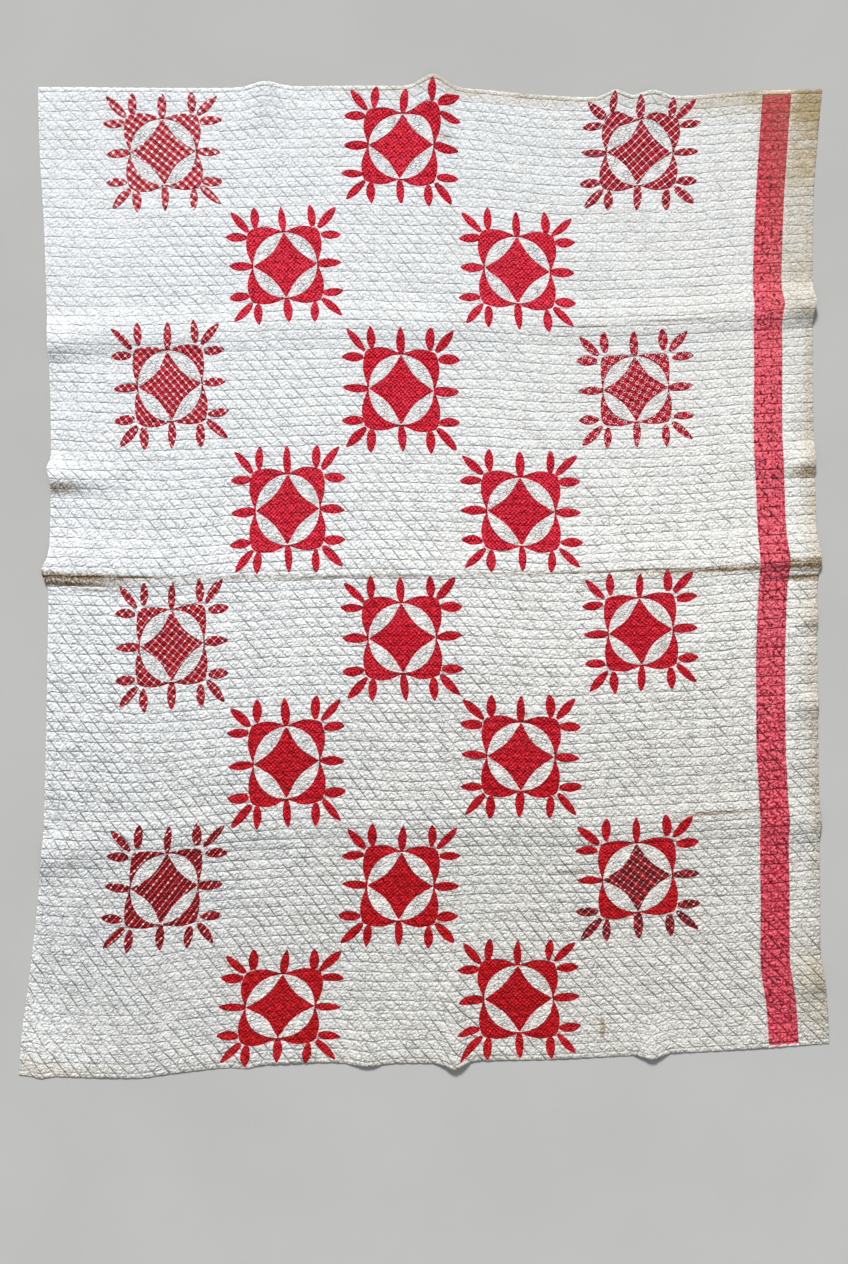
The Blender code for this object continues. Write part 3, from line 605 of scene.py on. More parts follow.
def quilt_back(sizes, material):
    """The quilt's underside: an even grid that follows the folds, joined to the face's rim."""
    top, right, bottom, left = rim_places()
    inset = 2 * RIM_STEPS[-1]
    columns = np.linspace(inset, CLOTH_WIDTH - inset, round(CLOTH_WIDTH / BACK_STEP))
    rows = np.linspace(inset, CLOTH_LENGTH - inset, round(CLOTH_LENGTH / BACK_STEP))
    across, down = (grid.ravel() for grid in np.meshgrid(columns, rows))
    slants, levels = line_counts(across, down)
    x, y = laid_out(across, down)
    under = np.maximum(0.0, lift(across, down) - sizes.rim)
    inner = np.stack((x - MIDDLE[0], y - MIDDLE[1], under), -1)

    # The rim's places clockwise from the top left corner, without doubles.
    rim_across = np.concatenate((top, np.full(len(right) - 1, CLOTH_WIDTH), bottom[-2::-1], np.zeros(len(left) - 2)))
    rim_down = np.concatenate((np.zeros(len(top)), right[1:], np.full(len(bottom) - 1, CLOTH_LENGTH), left[-2:0:-1]))
    outer, rim_slants, rim_levels = face_points(rim_across, rim_down, sizes)
    turn = np.cumsum((0, len(top) - 1, len(right) - 1, len(bottom) - 1))

    ids = np.arange(inner.shape[0]).reshape(len(rows), len(columns))
    faces = [split_cells(ids)[:, ::-1]]
    sides = ((ids[0], columns, top), (ids[:, -1], rows, right),
             (ids[-1, ::-1], CLOTH_WIDTH - columns[::-1], CLOTH_WIDTH - bottom[::-1]),
             (ids[::-1, 0], CLOTH_LENGTH - rows[::-1], CLOTH_LENGTH - left[::-1]))
    for (run, inside, outside), start in zip(sides, turn):
        rim = (np.arange(len(outside)) + start) % len(outer) + len(inner)
        faces.append(strip_between(run, inside, rim, outside))
    maps = {"Cloth": (np.concatenate((across, rim_across)), np.concatenate((down, rim_down))),
            "Lines": (np.concatenate((slants, rim_slants)), np.concatenate((levels, rim_levels)))}
    return cloth_piece("quilt_back", np.concatenate((inner, outer)), np.concatenate(faces), maps, [material])


# The applique.

Patch = namedtuple("Patch", "x y inset part quarter")


def draws(row, kind):
    """Random draws of one kind for one motif."""
    return random.Random(kind + row.row * 10 + row.column)


def leaf_patch(leaf, rng, hand, part):
    """A hand-cut leaf: its half width is a power of the sine of the way from root to tip."""
    angle = math.radians(leaf.direction_deg + rng.uniform(-LEAF_TURN_DEG, LEAF_TURN_DEG))
    length = leaf.length * (LEAF_LONGEST - rng.uniform(0, LEAF_LENGTH_SHARE))
    wide = leaf.half_width * (1 + rng.uniform(-LEAF_WIDTH_SHARE, LEAF_WIDTH_SHARE))
    fullest, blunt, bend = hand.uniform(0.85, 1.15), hand.uniform(0.56, 0.84), hand.uniform(-1.2, 1.2)
    t = (1 - np.cos(np.pi * np.linspace(0, 1, 20)))[:, None] / 2
    s = np.array((-1, -0.90, -0.70, -0.38, 0, 0.38, 0.70, 0.90, 1))[None, :]
    half = LEAF_STEM * (1 - t) ** 3 + LEAF_ENDS + (wide - LEAF_TRIM) * np.sin(np.pi * t**fullest) ** blunt
    along, out = t * length + 0 * s, s * half + bend * np.sin(np.pi * t)
    x = leaf.root_x + math.cos(angle) * along - math.sin(angle) * out
    y = leaf.root_y + math.sin(angle) * along + math.cos(angle) * out
    inset = np.minimum((1 - np.abs(s)) * half, np.minimum(along, length - along))
    return Patch(x, y, inset, part, 0)


def corner_patch(hand, square):
    """A corner piece, between the reel's circle and an outer side given by its radius at each angle.

    `square` brings that radius towards the one of a square with a rounded corner, a superellipse.
    """
    u = np.linspace(0, 1, 50)[:, None]
    v = np.array((0, 0.035, 0.10, 0.2, 0.3, 0.4, 0.5, 0.6, 0.7, 0.8, 0.9, 0.965, 1))[None, :]
    degrees = CORNER_FROM + (CORNER_TO - CORNER_FROM) * u
    angle = np.radians(degrees)
    bulge = hand.uniform(0.96, 1.05)
    outer = REEL_TIP + (smooth_between(CORNER_PIECE, degrees) - REEL_TIP) * bulge
    outer = outer + hand.uniform(-1.5, 1.5) * np.sin(angle * 4)
    sides = np.cos(angle) ** SQUARE_POWER + np.sin(angle) ** SQUARE_POWER
    outer = outer + square * (SQUARE_HALF / sides ** (1 / SQUARE_POWER) - outer)
    radius = REEL_TIP + (outer - REEL_TIP) * v
    along = angle * REEL_TIP
    inset = np.minimum(np.minimum(v, 1 - v) * (outer - REEL_TIP), np.minimum(along - along.min(), along.max() - along))
    return Patch(radius * np.sin(angle), radius * np.cos(angle), inset, "corner", 0)


def diamond_patch(hand):
    """The diamond: a square on its corner. Its sides curve in by a power of a cosine of the way along."""
    way = np.linspace(-1, 1, 49)
    edge = np.sign(way) * np.abs(way) ** 0.93
    u, v = edge[:, None], edge[None, :]
    half = (REEL_TIP + 0.6) / math.sqrt(2)
    dips = [DIAMOND_SIDE_DIP * hand.uniform(0.62, 1.0) for _ in range(4)]
    reach_u = half - np.where(u > 0, dips[0], dips[1]) * np.cos(np.pi * v / 2) ** 1.35
    reach_v = half - np.where(v > 0, dips[2], dips[3]) * np.cos(np.pi * u / 2) ** 1.35
    p, q = u * reach_u, v * reach_v
    inset = np.minimum((1 - np.abs(u)) * reach_u, (1 - np.abs(v)) * reach_v)
    return Patch((p - q) / math.sqrt(2), (p + q) / math.sqrt(2), inset, "diamond", 0)


def turned(patch, quarters):
    """A patch turned clockwise by quarter turns about the motif's centre."""
    x, y = patch.x, patch.y
    for _ in range(quarters):
        x, y = y, -x
    return patch._replace(x=x, y=y, quarter=quarters)


def motif_patches(row):
    """A motif's diamond, four corner pieces and sixteen leaves, mm from its centre."""
    rng, hand = draws(row, LEAF_DRAWS), draws(row, CUTTING_DRAWS)
    patches = [diamond_patch(hand)]
    for quarters in range(4):
        square = SQUARE_CORNERS.get((row.row, row.column), 0.0) * (1.0 if quarters in (0, 3) else LOWER_CORNER_SHARE)
        patches.append(turned(corner_patch(hand, square), quarters))
        for part, leaf in LEAVES.items():
            patches.append(turned(leaf_patch(leaf, rng, hand, part), quarters))
    return patches


def print_places(row, patch, x, y, hand):
    """A patch's places on its own cut of printed cloth: turned to the print's grain, and shifted."""
    grain_deg = PRINTS[row.cloth].grain_deg if row.cloth in PRINTS else PLAIN_GRAIN_DEG
    grain = math.radians(grain_deg + hand.uniform(-6, 6) * (patch.part != "diamond"))
    shift = hand.uniform(0, 1), hand.uniform(0, 1)
    return ((x * math.cos(grain) + y * math.sin(grain)) * MM + shift[0],
            (y * math.cos(grain) - x * math.sin(grain)) * MM + shift[1])


def from_knot(patch):
    """How far a patch's places are from the nearest of the reel's four points, mm."""
    x, y = np.abs(patch.x), np.abs(patch.y)
    return np.hypot(np.minimum(x, y), np.maximum(x, y) - REEL_TIP)


def faded_patch(row, patch):
    """How much more a patch has faded than the rest."""
    motif = (row.row, row.column)
    low_leaf = patch.quarter in (1, 2) and patch.part in LEAVES
    return FADED_MOTIFS.get(motif, 0.0) + FADED_LOW_LEAVES.get(motif, 0.0) * low_leaf


def turned_over(place):
    """Whether a grid's cells, as split_cells makes them, would face down."""
    i, j = (size // 2 for size in place.shape[:2])
    return np.cross(place[i + 1, j] - place[i, j], place[i, j + 1] - place[i, j])[2] < 0


def applique(row, sizes, materials):
    """One motif: each patch is a grid laid on the quilt's face, with its edges turned under.

    A patch stands above the face by the applique's height times (1 + sink)(1 - exp(-inset / edge)) - sink,
    so that its very edge is sunk in the face.
    """
    turn = math.radians(row.turn_deg)
    hand = draws(row, CLOTH_DRAWS)
    points, faces, slots, fades = [], [], [], []
    maps = {"Cloth": [], "Lines": [], "Print": [], "Edge": []}
    first = 0
    for patch in motif_patches(row):
        x, y = patch.x * row.wide / LEAF_REACH, patch.y * row.tall / LEAF_REACH
        across = (row.across + x * math.cos(turn) - y * math.sin(turn)) * MM
        down = (row.down - x * math.sin(turn) - y * math.cos(turn)) * MM
        inset = patch.inset * MM
        rise = sizes.applique * ((1 + EDGE_SINK) * (1 - np.exp(-inset / TURNED_EDGE)) - EDGE_SINK)
        place, slants, levels = face_points(across, down, sizes, rise)
        cells = split_cells(np.arange(patch.x.size).reshape(patch.x.shape) + first)
        points.append(place.reshape(-1, 3))
        faces.append(cells[:, ::-1] if turned_over(place) else cells)
        for name, values in (("Cloth", (across, down)), ("Lines", (slants, levels)),
                             ("Print", print_places(row, patch, x, y, hand)), ("Edge", (from_knot(patch) * MM, inset))):
            maps[name].append(np.stack([value.ravel() for value in values]))
        other = len(materials) > 1 and patch.part != "diamond" and (patch.quarter, patch.part) not in PLAID_PIECES
        slots.append(np.full(len(cells), int(other)))
        fades.append(np.full(patch.x.size, hand.uniform(-0.12, 0.14) + faded_patch(row, patch)))
        first += patch.x.size
    maps = {name: np.concatenate(values, axis=1) for name, values in maps.items()}
    piece = cloth_piece(f"applique_{row.row}_{row.column}", np.concatenate(points), np.concatenate(faces),
                        maps, materials, np.concatenate(slots))
    layer = piece.data.attributes.new("Fade", "FLOAT", "POINT")
    layer.data.foreach_set("value", np.concatenate(fades).astype(np.float32))
    return piece


# Nodes.

def maths_of(operation, *rest):
    """A method that adds a math node: of this value, another value or number if given, and the rest."""
    return lambda self, *other: self.tree.maths(operation, self, *other, *rest)


class Value:
    """What comes out of a socket. Sums, products and the methods below add nodes; a | b is the greater."""

    def __init__(self, tree, socket):
        self.tree, self.socket = tree, socket

    __add__ = __radd__ = maths_of("ADD")
    __mul__ = __rmul__ = maths_of("MULTIPLY")
    __or__ = __ror__ = maths_of("MAXIMUM")
    __sub__, __truediv__ = maths_of("SUBTRACT"), maths_of("DIVIDE")
    sine, size, whole = maths_of("SINE"), maths_of("ABSOLUTE"), maths_of("FLOOR")
    fold = maths_of("PINGPONG", 0.5)     # distance from the nearest whole number
    odd = maths_of("PINGPONG", 1.0)      # 0 for an even number and 1 for an odd one

    def __rsub__(self, other):
        return self.tree.maths("SUBTRACT", other, self)

    def step(self, low, high, start=0.0, end=1.0):
        """A smooth step from `start` at `low` to `end` at `high`, level beyond both."""
        return self.tree.add("ShaderNodeMapRange", {
            "Value": self, "From Min": low, "From Max": high, "To Min": start, "To Max": end},
            interpolation_type="SMOOTHSTEP")["Result"]

    def length(self):
        return self.tree.vector("LENGTH", self)["Value"]

    def split(self):
        sides = self.tree.add("ShaderNodeSeparateXYZ", {"Vector": self})
        return sides["X"], sides["Y"]

    def noise(self, scale, detail=2.0, roughness=0.5):
        """Clouds of about 1 / scale metres."""
        return self.tree.add("ShaderNodeTexNoise", {"Vector": self, "Scale": scale, "Detail": detail,
                                                    "Roughness": roughness}, noise_dimensions="2D")["Fac"]

    def cells(self, scale, randomness, feature="DISTANCE_TO_EDGE"):
        """Distance from the borders of scattered cells, or from their middles with the feature F1."""
        return self.tree.add("ShaderNodeTexVoronoi", {"Vector": self, "Scale": scale, "Randomness": randomness},
                             voronoi_dimensions="2D", feature=feature)["Distance"]

    def grain(self, degrees, long_mm, short_mm):
        """Places counted in a grain's own lengths: long ones along its direction, short ones across it."""
        return self.tree.add("ShaderNodeMapping", {
            "Vector": self, "Rotation": (0, 0, math.radians(degrees)),
            "Scale": (long_mm * MM, short_mm * MM, 1.0)}, vector_type="TEXTURE")["Vector"]

    def wavering(self):
        """The place moved a few millimetres by noise, so that straight creases waver."""
        cloud = self.tree.add("ShaderNodeTexNoise", {"Vector": self, "Scale": 90.0, "Detail": 2.0})["Color"]
        moved = ((side - 0.5) * 0.008 for side in cloud.split())
        return self.tree.vector("ADD", self, self.tree.joined(*moved))["Vector"]

    def painted(self, share, colour):
        """This colour with a share of another in its place."""
        return self.tree.mix(share, self, colour)

    def darkened(self, share, colour):
        """This colour with a share of another multiplied into it."""
        return self.tree.mix(share, self, colour, "MULTIPLY")


class Tree:
    """Adds nodes to one node tree. A Value, a number or a colour may feed an input."""

    def __init__(self, tree):
        self.tree = tree

    def feed(self, socket, value):
        if isinstance(value, Value):
            self.tree.links.new(value.socket, socket)
        elif socket.type == "RGBA" and len(value) == 3:
            socket.default_value = (*value, 1.0)
        else:
            socket.default_value = value

    def add(self, kind, inputs=(), **settings):
        """Add a node with its settings and its inputs, by name or number. Gives what it puts out, by name."""
        node = self.tree.nodes.new(kind)
        for name, value in settings.items():
            setattr(node, name, value)
        for name, value in dict(inputs).items():
            self.feed(node.inputs[name], value)
        return {socket.name: Value(self, socket) for socket in node.outputs}

    def maths(self, operation, *values, clamp=False):
        return self.add("ShaderNodeMath", enumerate(values), operation=operation, use_clamp=clamp)["Value"]

    def vector(self, operation, *values):
        return self.add("ShaderNodeVectorMath", enumerate(values), operation=operation)

    def joined(self, x, y):
        return self.add("ShaderNodeCombineXYZ", {"X": x, "Y": y})["Vector"]

    def mix(self, share, first, second, blend="MIX"):
        node = self.tree.nodes.new("ShaderNodeMix")
        node.data_type, node.blend_type = "RGBA", blend
        sockets = {socket.identifier: socket for socket in (*node.inputs, *node.outputs)}
        for name, value in (("Factor_Float", share), ("A_Color", first), ("B_Color", second)):
            self.feed(sockets[name], value)
        return Value(self, sockets["Result_Color"])

    def group(self, name, values):
        """Place a shared group, and feed each of its inputs from the value of that name."""
        group = shared_group(name)
        inputs = {item.name: values[item.name] for item in group.interface.items_tree if item.in_out == "INPUT"}
        return self.add("ShaderNodeGroup", inputs, node_tree=group)


# Shared shader groups. Each maker takes its group's inputs in order and gives its outputs in order.

GROUPS = {}
VECTORS, COLOURS = ("Cloth", "Lines", "Reel", "Print"), ("Colour", "Faded", "Deep")
QUILTING = ("Groove", "Puff", "Height")


def shared(name, inputs, outputs):
    """Marks the maker of a shared shader group."""
    def marked(maker):
        GROUPS[name] = maker, inputs, outputs
        return maker
    return marked


def shared_group(name):
    """The shared group of this name, built the first time that it's asked for."""
    group = bpy.data.node_groups.get(name)
    if group is not None:
        return group
    maker, inputs, outputs = GROUPS[name]
    group = bpy.data.node_groups.new(name, "ShaderNodeTree")
    for in_out, names in (("INPUT", inputs), ("OUTPUT", outputs)):
        for socket in names:
            kind = "Vector" if socket in VECTORS else "Color" if socket in COLOURS else "Float"
            group.interface.new_socket(socket, in_out=in_out, socket_type="NodeSocket" + kind)
    tree = Tree(group)
    given = tree.add("NodeGroupInput")
    made = maker(tree, *(given[socket] for socket in inputs))
    out = group.nodes.new("NodeGroupOutput").inputs
    for socket, value in zip(outputs, made):
        tree.feed(out[socket], value)
    return group


Stitching = namedtuple("Stitching", "pitch_mm stitches strength weakest at_foot")
LEVEL_STITCHING = Stitching(20.1, 7.6, 0.85, 0.22, 0.65)
SLANT_STITCHING = Stitching(19.6, 7.8, 1.0, 0.50, 1.05)


@shared("Quilting Stitches", ("Lines", "Cloth"), QUILTING)
def quilting_stitches(tree, lines, cloth):
    """Lines of hand quilting, from the counts of slanting lines (x) and level lines (y).

    A line is a groove with a dash for each stitch. Noise and the place on the cloth weaken both kinds,
    and break off the slanting one on the right.
    """
    slants, levels = lines.split()
    across, down = cloth.split()
    broken = cloth.noise(38.0)
    lower = down.step(0.1, 1.6, 0.66, 1.15)
    grooves, tops = [], []
    for count, other, kind in ((levels, slants, LEVEL_STITCHING), (slants, levels, SLANT_STITCHING)):
        away = count.fold() * kind.pitch_mm
        line = away.step(0.45, 2.0, 1.0, 0.0)
        dash = (other * (2 * math.pi * kind.stitches)).sine().step(-0.5, 0.6, 0.6, 1.0)
        strength = broken.step(0.30, 0.68, kind.weakest, 1.0) * lower
        if count is slants:
            right = across.step(0.80, 1.20) * down.step(1.30, 1.60, 1.0, 0.1)
            short = cloth.noise(30.0, 1.0).step(0.43, 0.55, 0.90, 0.0)
            fewer = 1.0 - tree.maths("MULTIPLY", right, short + down.step(0.90, 0.60, 0.0, 0.3), clamp=True)
            strength = strength * (fewer * cloth.noise(5.0, 1.0).step(0.36, 0.58, 0.55, 1.0))
        strength = strength * down.step(1.60, 1.85, 1.0, kind.at_foot)
        grooves.append(line * dash * kind.strength * strength)
        tops.append(away.step(0.5, 7.5))
    groove = grooves[0] | grooves[1]
    return groove, tops[0] * tops[1], groove * -0.0011


@shared("Reel Quilting", ("Reel", "Cloth", *QUILTING), (*QUILTING, "Inside"))
def reel_quilting(tree, reel, cloth, groove, puff, height):
    """Inside a reel, close lines beside the diamond's sides take the place of the other quilting.

    They run where |x| + |y| is the same, and the Reel map holds |x| and |y| from the reel's centre.
    Puckers, the borders of scattered cells, lie between them.
    """
    inside = reel.length().step(0.0690, 0.0725, 1.0, 0.0)
    x, y = reel.split()
    count = (x + y) / REEL_LINE_PITCH + cloth.noise(42.0) * 1.4
    line = count.fold().step(0.05, 0.28, 1.0, 0.0) * cloth.noise(55.0).step(0.42, 0.62, 0.10, 1.0)
    net = cloth.wavering().grain(10, 11, 5.2).cells(1.0, 0.9)
    puckers = net.step(0.0, 0.165, 1.0, 0.0) * cloth.noise(44.0).step(0.34, 0.60, 0.25, 1.1)
    line = line * 0.6 | puckers
    kept = 1.0 - inside * 0.85
    return groove * kept + line * inside * 0.80, puff | inside * 0.6, height * kept + line * inside * -0.0007, inside


Net = namedtuple("Net", "degrees long_mm short_mm reach share depth")
PUFF_NETS = Net(4, 15, 9.5, 0.09, 0.95, 0.00022), Net(-48, 17, 9, 0.08, 0.75, 0.00018)


@shared("Washed Crinkle", ("Cloth",), ("Height", "Crease", "Pebble"))
def washed_crinkle(tree, cloth):
    """Fine creases of washed cotton: pebbles, the net between them, and two nets round larger puffs."""
    def patchy(share, depth, least):
        """Noise, from another place for each net, that lets its creases come and go."""
        place = tree.vector("ADD", cloth, (share, depth * 9000, 0.0))["Vector"]
        return place.noise(34.0).step(0.40, 0.62, least, 1.0)

    lower = cloth.split()[1].step(0.2, 1.6, 0.62, 1.15)
    wavering = cloth.wavering()
    pebble = wavering.cells(150.0, 0.8, "F1").step(0.12, 0.62, 1.0, 0.0)
    height = pebble * 0.00045
    crease = wavering.cells(150.0, 0.85).step(0.0, 0.13, 1.0, 0.0) * patchy(0.58, 0.0, 0.5) * 0.58
    for net in PUFF_NETS:
        away = wavering.grain(net.degrees, net.long_mm, net.short_mm).cells(1.0, 0.85)
        line = away.step(0.015, net.reach, 1.0, 0.0) * patchy(net.share, net.depth, 0.0)
        crease = crease | line * net.share
        height = height + line * -net.depth + away.step(0.0, 0.42) * 0.0005
    return height * lower, crease * lower, pebble


@shared("Plain Weave", ("Cloth", "Thread"), ("Height",))
def plain_weave(tree, cloth, thread):
    """Plain weave: the product of two sines, a thread apart."""
    across, down = ((side / thread * math.pi).sine() for side in cloth.split())
    return [across * down * 0.00003]


@shared("Age", ("Cloth",), ("Tan", "Brown", "Creased", "Warmth", "Dull"))
def age(tree, cloth):
    """Toning, soil and stains, at their places on the cloth and with uneven borders; warmth and dullness.

    The soil in and below the folds is partly painted shade, and the dullness is partly painted shade: darker towards
    the bottom, standing in for light falling off, and darker at the upper right.
    """
    rough, fine = cloth.noise(14.0, 4.0, 0.6) - 0.5, cloth.noise(75.0, 3.0, 0.6) - 0.5

    def spotted(spots, unevenness):
        """The strongest of a table's spots, each a smooth step down from its middle."""
        total = 0.0
        for across, down, reach_across, reach_down, strength in spots:
            away = tree.vector("SUBTRACT", cloth, (across * MM, down * MM, 0.0))["Vector"]
            away = tree.vector("DIVIDE", away, (reach_across * MM, reach_down * MM, 1.0))["Vector"]
            total = total | away.length().step(0.15, 1.0, strength, 0.0)
        blotch = rough * (unevenness * 2.2) + fine * (unevenness * 1.6)
        return tree.maths("MULTIPLY", total, blotch + 1.0, clamp=True)

    # Brown stains and soil, partly painted shadow below the folds' ridges.
    brown = spotted(BROWNED, 0.7) * cloth.noise(210.0).step(0.38, 0.60, 0.45, 1.05)
    x, y = cloth.split()
    warmth = (x * 0.42 + y * 0.30 + rough * 0.5).step(0.20, 1.20)
    # Darker towards the bottom, painted shade standing in for light falling off; and darker at the upper right.
    lower = (y + x * 0.12).step(1.0, 1.85, 0.0, 0.205) * (y - x).step(1.75, 1.95, 1.0, 0.25)
    upper = y.step(0.45, 1.15, 1.0, 0.0) * x.step(0.60, 1.20, 0.045, 0.11)
    return spotted(TANNED, 0.55), brown, spotted(CREASED, 0.8), warmth, lower + upper


@shared("Faded Dye And Painted Light", ("Cloth", "Groove", "Puff", "Crease", "Pebble", "Fade", *COLOURS), ("Colour",))
def faded_dye_and_painted_light(tree, cloth, groove, puff, crease, pebble, fade, colour, faded, deep):
    """Dyed cotton that has faded on its puffs and stayed deep in its creases. The faded colour on the tops of puffs and
    pebbles is partly a painted highlight, and the deep colour in grooves, creases and between pebbles is partly painted
    shade.
    """
    top = pebble * 0.6 + cloth.noise(110.0, 2.0, 0.6) * 0.9
    worn = (puff * 0.5 + 0.5) * top.step(0.60, 0.86) * 0.9 + cloth.noise(22.0).step(0.35, 0.75, 0.0, 0.2)
    depth = groove | crease * 0.65 | top.step(0.66, 0.42, 0.0, 1.0)
    return [tree.mix(depth, tree.mix(worn + fade, colour, faded), deep)]


@shared("Woven Check", ("Print", "Pitch", "White Share", "Line Strength", "Other Strength", "Dot Share", "Hollow"),
        ("White", "Square"))
def woven_check(tree, place, pitch, white_share, line_strength, other_strength, dot_share, hollow):
    """Woven check: white threads both ways, whitest where they cross, and every other square between."""
    counts = [side / pitch for side in place.split()]
    aways = [count.fold() for count in counts]
    lines = [(white_share * 0.5 - away).step(-0.025, 0.025) for away in aways]
    threads = lines[0] * line_strength | lines[1] * other_strength
    crossing = tree.joined(*aways).length()
    square, other = (((counts[0] + half).whole() + (counts[1] + half).whole()).odd() for half in (0.0, 0.5))
    eye = other * hollow * crossing.step(0.05, 0.12, 1.0, 0.0)
    dot = (dot_share * (other * 0.3 + 1.0) - crossing).step(-0.03, 0.03)
    white = threads | (lines[0] * lines[1] | dot)
    return white * (1.0 - eye), square


@shared("Hollow Squares", ("Print", "Pitch"), ("White",))
def hollow_squares(tree, place, pitch):
    """Printed little hollow squares, with a dash between them."""
    x, y = ((side / pitch).fold() for side in place.split())
    ring = ((x | y) - 0.195).size().step(0.030, 0.055, 1.0, 0.0)
    dashes = [((far - 0.5).size() * 0.6 | near).step(0.035, 0.065, 0.62, 0.0) for far, near in ((x, y), (y, x))]
    return [(ring | (dashes[0] | dashes[1])) * 0.66]


@shared("Dotted Stripes", ("Print", "Pitch"), ("White",))
def dotted_stripes(tree, place, pitch):
    """Printed stripes, a thin one and a row of sprigs in turn."""
    along, count = (side / pitch for side in place.split())
    away = count.fold()
    thin = away.step(0.035, 0.085, 0.45, 0.0) * (along * 1.7).fold().step(0.12, 0.24, 1.0, 0.35)
    sprig = (along * 1.15).fold().step(0.17, 0.27, 1.0, 0.0) * (count + 0.5).whole().odd()
    return [thin | sprig * away.step(0.11, 0.17, 0.70, 0.0)]


@shared("Plaid Bands", ("Print", "Pitch"), ("Dark",))
def plaid_bands(tree, place, pitch):
    """The plaid's dark bands: broad across the print, and narrow and paler along it."""
    broad, narrow = ((side / (pitch * 2.0)).fold() for side in place.split())
    return [broad.step(0.25, 0.31, 0.0, 0.9) | narrow.step(0.33, 0.38, 0.0, 0.75)]


# Materials.

def cotton(name, look_of, *own_maps):
    """A cotton material. look_of(tree, cloth) gives its colour and a height or None.

    `cloth` holds the maps' places and the masks that the shared groups put out, by name.
    """
    found = bpy.data.materials.get(name)
    if found is not None:
        return found
    material = bpy.data.materials.new(name)
    material.use_nodes = True
    tree = Tree(material.node_tree)
    maps = {key: tree.add("ShaderNodeUVMap", uv_map=key)["UV"] for key in ("Cloth", "Lines", *own_maps)}
    quilting = tree.group("Quilting Stitches", maps)
    if "Reel" in own_maps:
        quilting = tree.group("Reel Quilting", {**maps, **quilting})
    crinkle = tree.group("Washed Crinkle", maps)
    weave = tree.group("Plain Weave", {**maps, "Thread": THREAD})
    height = quilting["Height"] + crinkle["Height"] + weave["Height"]
    marks = {**maps, **crinkle, **tree.group("Age", maps), **quilting}
    colour, own_height = look_of(tree, SimpleNamespace(**{key.lower(): value for key, value in marks.items()}))
    if own_height is not None:
        height = height + own_height
    inputs = material.node_tree.nodes["Principled BSDF"].inputs
    tree.feed(inputs["Base Color"], colour)
    bump = tree.add("ShaderNodeBump", {"Height": height, "Distance": 1.0, "Strength": 1.0})
    tree.feed(inputs["Normal"], bump["Normal"])
    for socket, value in (("Roughness", 0.92), ("Specular IOR Level", 0.12),
                          ("Sheen Weight", 0.03), ("Sheen Roughness", 0.5)):
        inputs[socket].default_value = value
    return material


def white_cotton(colours, reels=False):
    """Old white cotton: cooler at the upper left, toned and stained, with soil and painted shade along its stitches, in
    its creases and in its folds, and painted shade in its hollows and towards the bottom.
    """
    def look(tree, cloth):
        base = tree.mix(cloth.warmth, colours.cool_white, colours.warm_white).painted(cloth.tan, colours.tan)
        # Brown stains and soil, stronger in grooves and creases, and partly painted shadow below the folds' ridges.
        base = base.painted(cloth.brown * ((cloth.groove | cloth.crease) * 0.50 + 0.80), colours.brown)
        # Painted shade in the pebbles' hollows, plus the darkening towards the bottom and at the upper right.
        hollow = (1.0 - cloth.pebble) * 0.16 + cloth.dull
        if reels:
            hollow = hollow * (1.0 - cloth.inside * 0.7)
        # Soil and painted shade darken the folds' sharp creases.
        base = base.darkened(hollow, HOLLOW_SHADE).darkened(cloth.creased * 0.85, FOLD_SOIL_AND_SHADE)
        if reels:
            base = base.darkened(cloth.inside * 0.2, REEL_TINGE)
        # Soil and painted shade along the stitched grooves and in the fine creases.
        return base.darkened(cloth.groove * 0.90 | cloth.crease * 0.62, STITCH_SOIL_AND_SHADE), None
    return cotton("old_field_cotton", look, "Reel") if reels else cotton("old_white_cotton", look)


def dyed(tree, cloth, depth, pebble, fade, colour, faded, deep):
    """The dye group with its colours: faded, partly as a painted highlight, on the tops, and deep, partly as painted
    shade, in the grooves. `depth` is how deep the dye has stayed in the stitches, partly painted shade there.
    """
    return tree.group("Faded Dye And Painted Light", {
        "Cloth": cloth.cloth, "Groove": cloth.groove * depth, "Puff": cloth.puff, "Crease": cloth.crease,
        "Pebble": pebble, "Fade": fade, "Colour": colour, "Faded": faded, "Deep": deep})["Colour"]


def rose_cotton(colours):
    """Faded rose cotton, with the white hem turned over both of its ends."""
    def look(tree, cloth):
        deep = tuple(0.22 * value for value in colours.rose)
        down = cloth.cloth.split()[1]
        # Deeper at the top and towards the foot; the deepening towards the foot is partly painted shade standing in for
        # light falling off.
        fade = down.step(0.0, 0.5, -0.58, 0.20) + down.step(1.1, 1.8, 0.0, -0.36)
        rose = dyed(tree, cloth, 1.6, cloth.pebble * 0.66 + 0.15, fade, colours.rose, colours.faded_rose, deep)
        rose = rose.painted(cloth.tan * 0.20, colours.tan).darkened(cloth.tan * 0.45, ROSE_TONING)
        # Stains, soil and painted shade in and below the folds, painted onto the rose.
        rose = rose.painted(cloth.brown * 0.5 | cloth.creased * 0.8, ROSE_SOIL_AND_SHADE)
        ragged = cloth.cloth.noise(260.0) * 0.003
        top = (down + ragged).step(0.0098, 0.0110, 1.0, 0.0)
        bottom = (down - ragged).step(CLOTH_LENGTH - 0.0078, CLOTH_LENGTH - 0.0066)
        return rose.painted(top | bottom, tree.mix(cloth.tan, colours.warm_white, colours.tan)), None
    return cotton("old_rose_cotton", look)


def red_down(tree, cloth, colours):
    """The red's three colours, deeper towards the foot of the quilt."""
    share = cloth.cloth.split()[1].step(0.7, 1.9)
    return [tree.mix(share, colour, tuple(value * factor for value, factor in zip(colour, LOWER_RED)))
            for colour in (colours.red, colours.faded_red, colours.deep_red)]


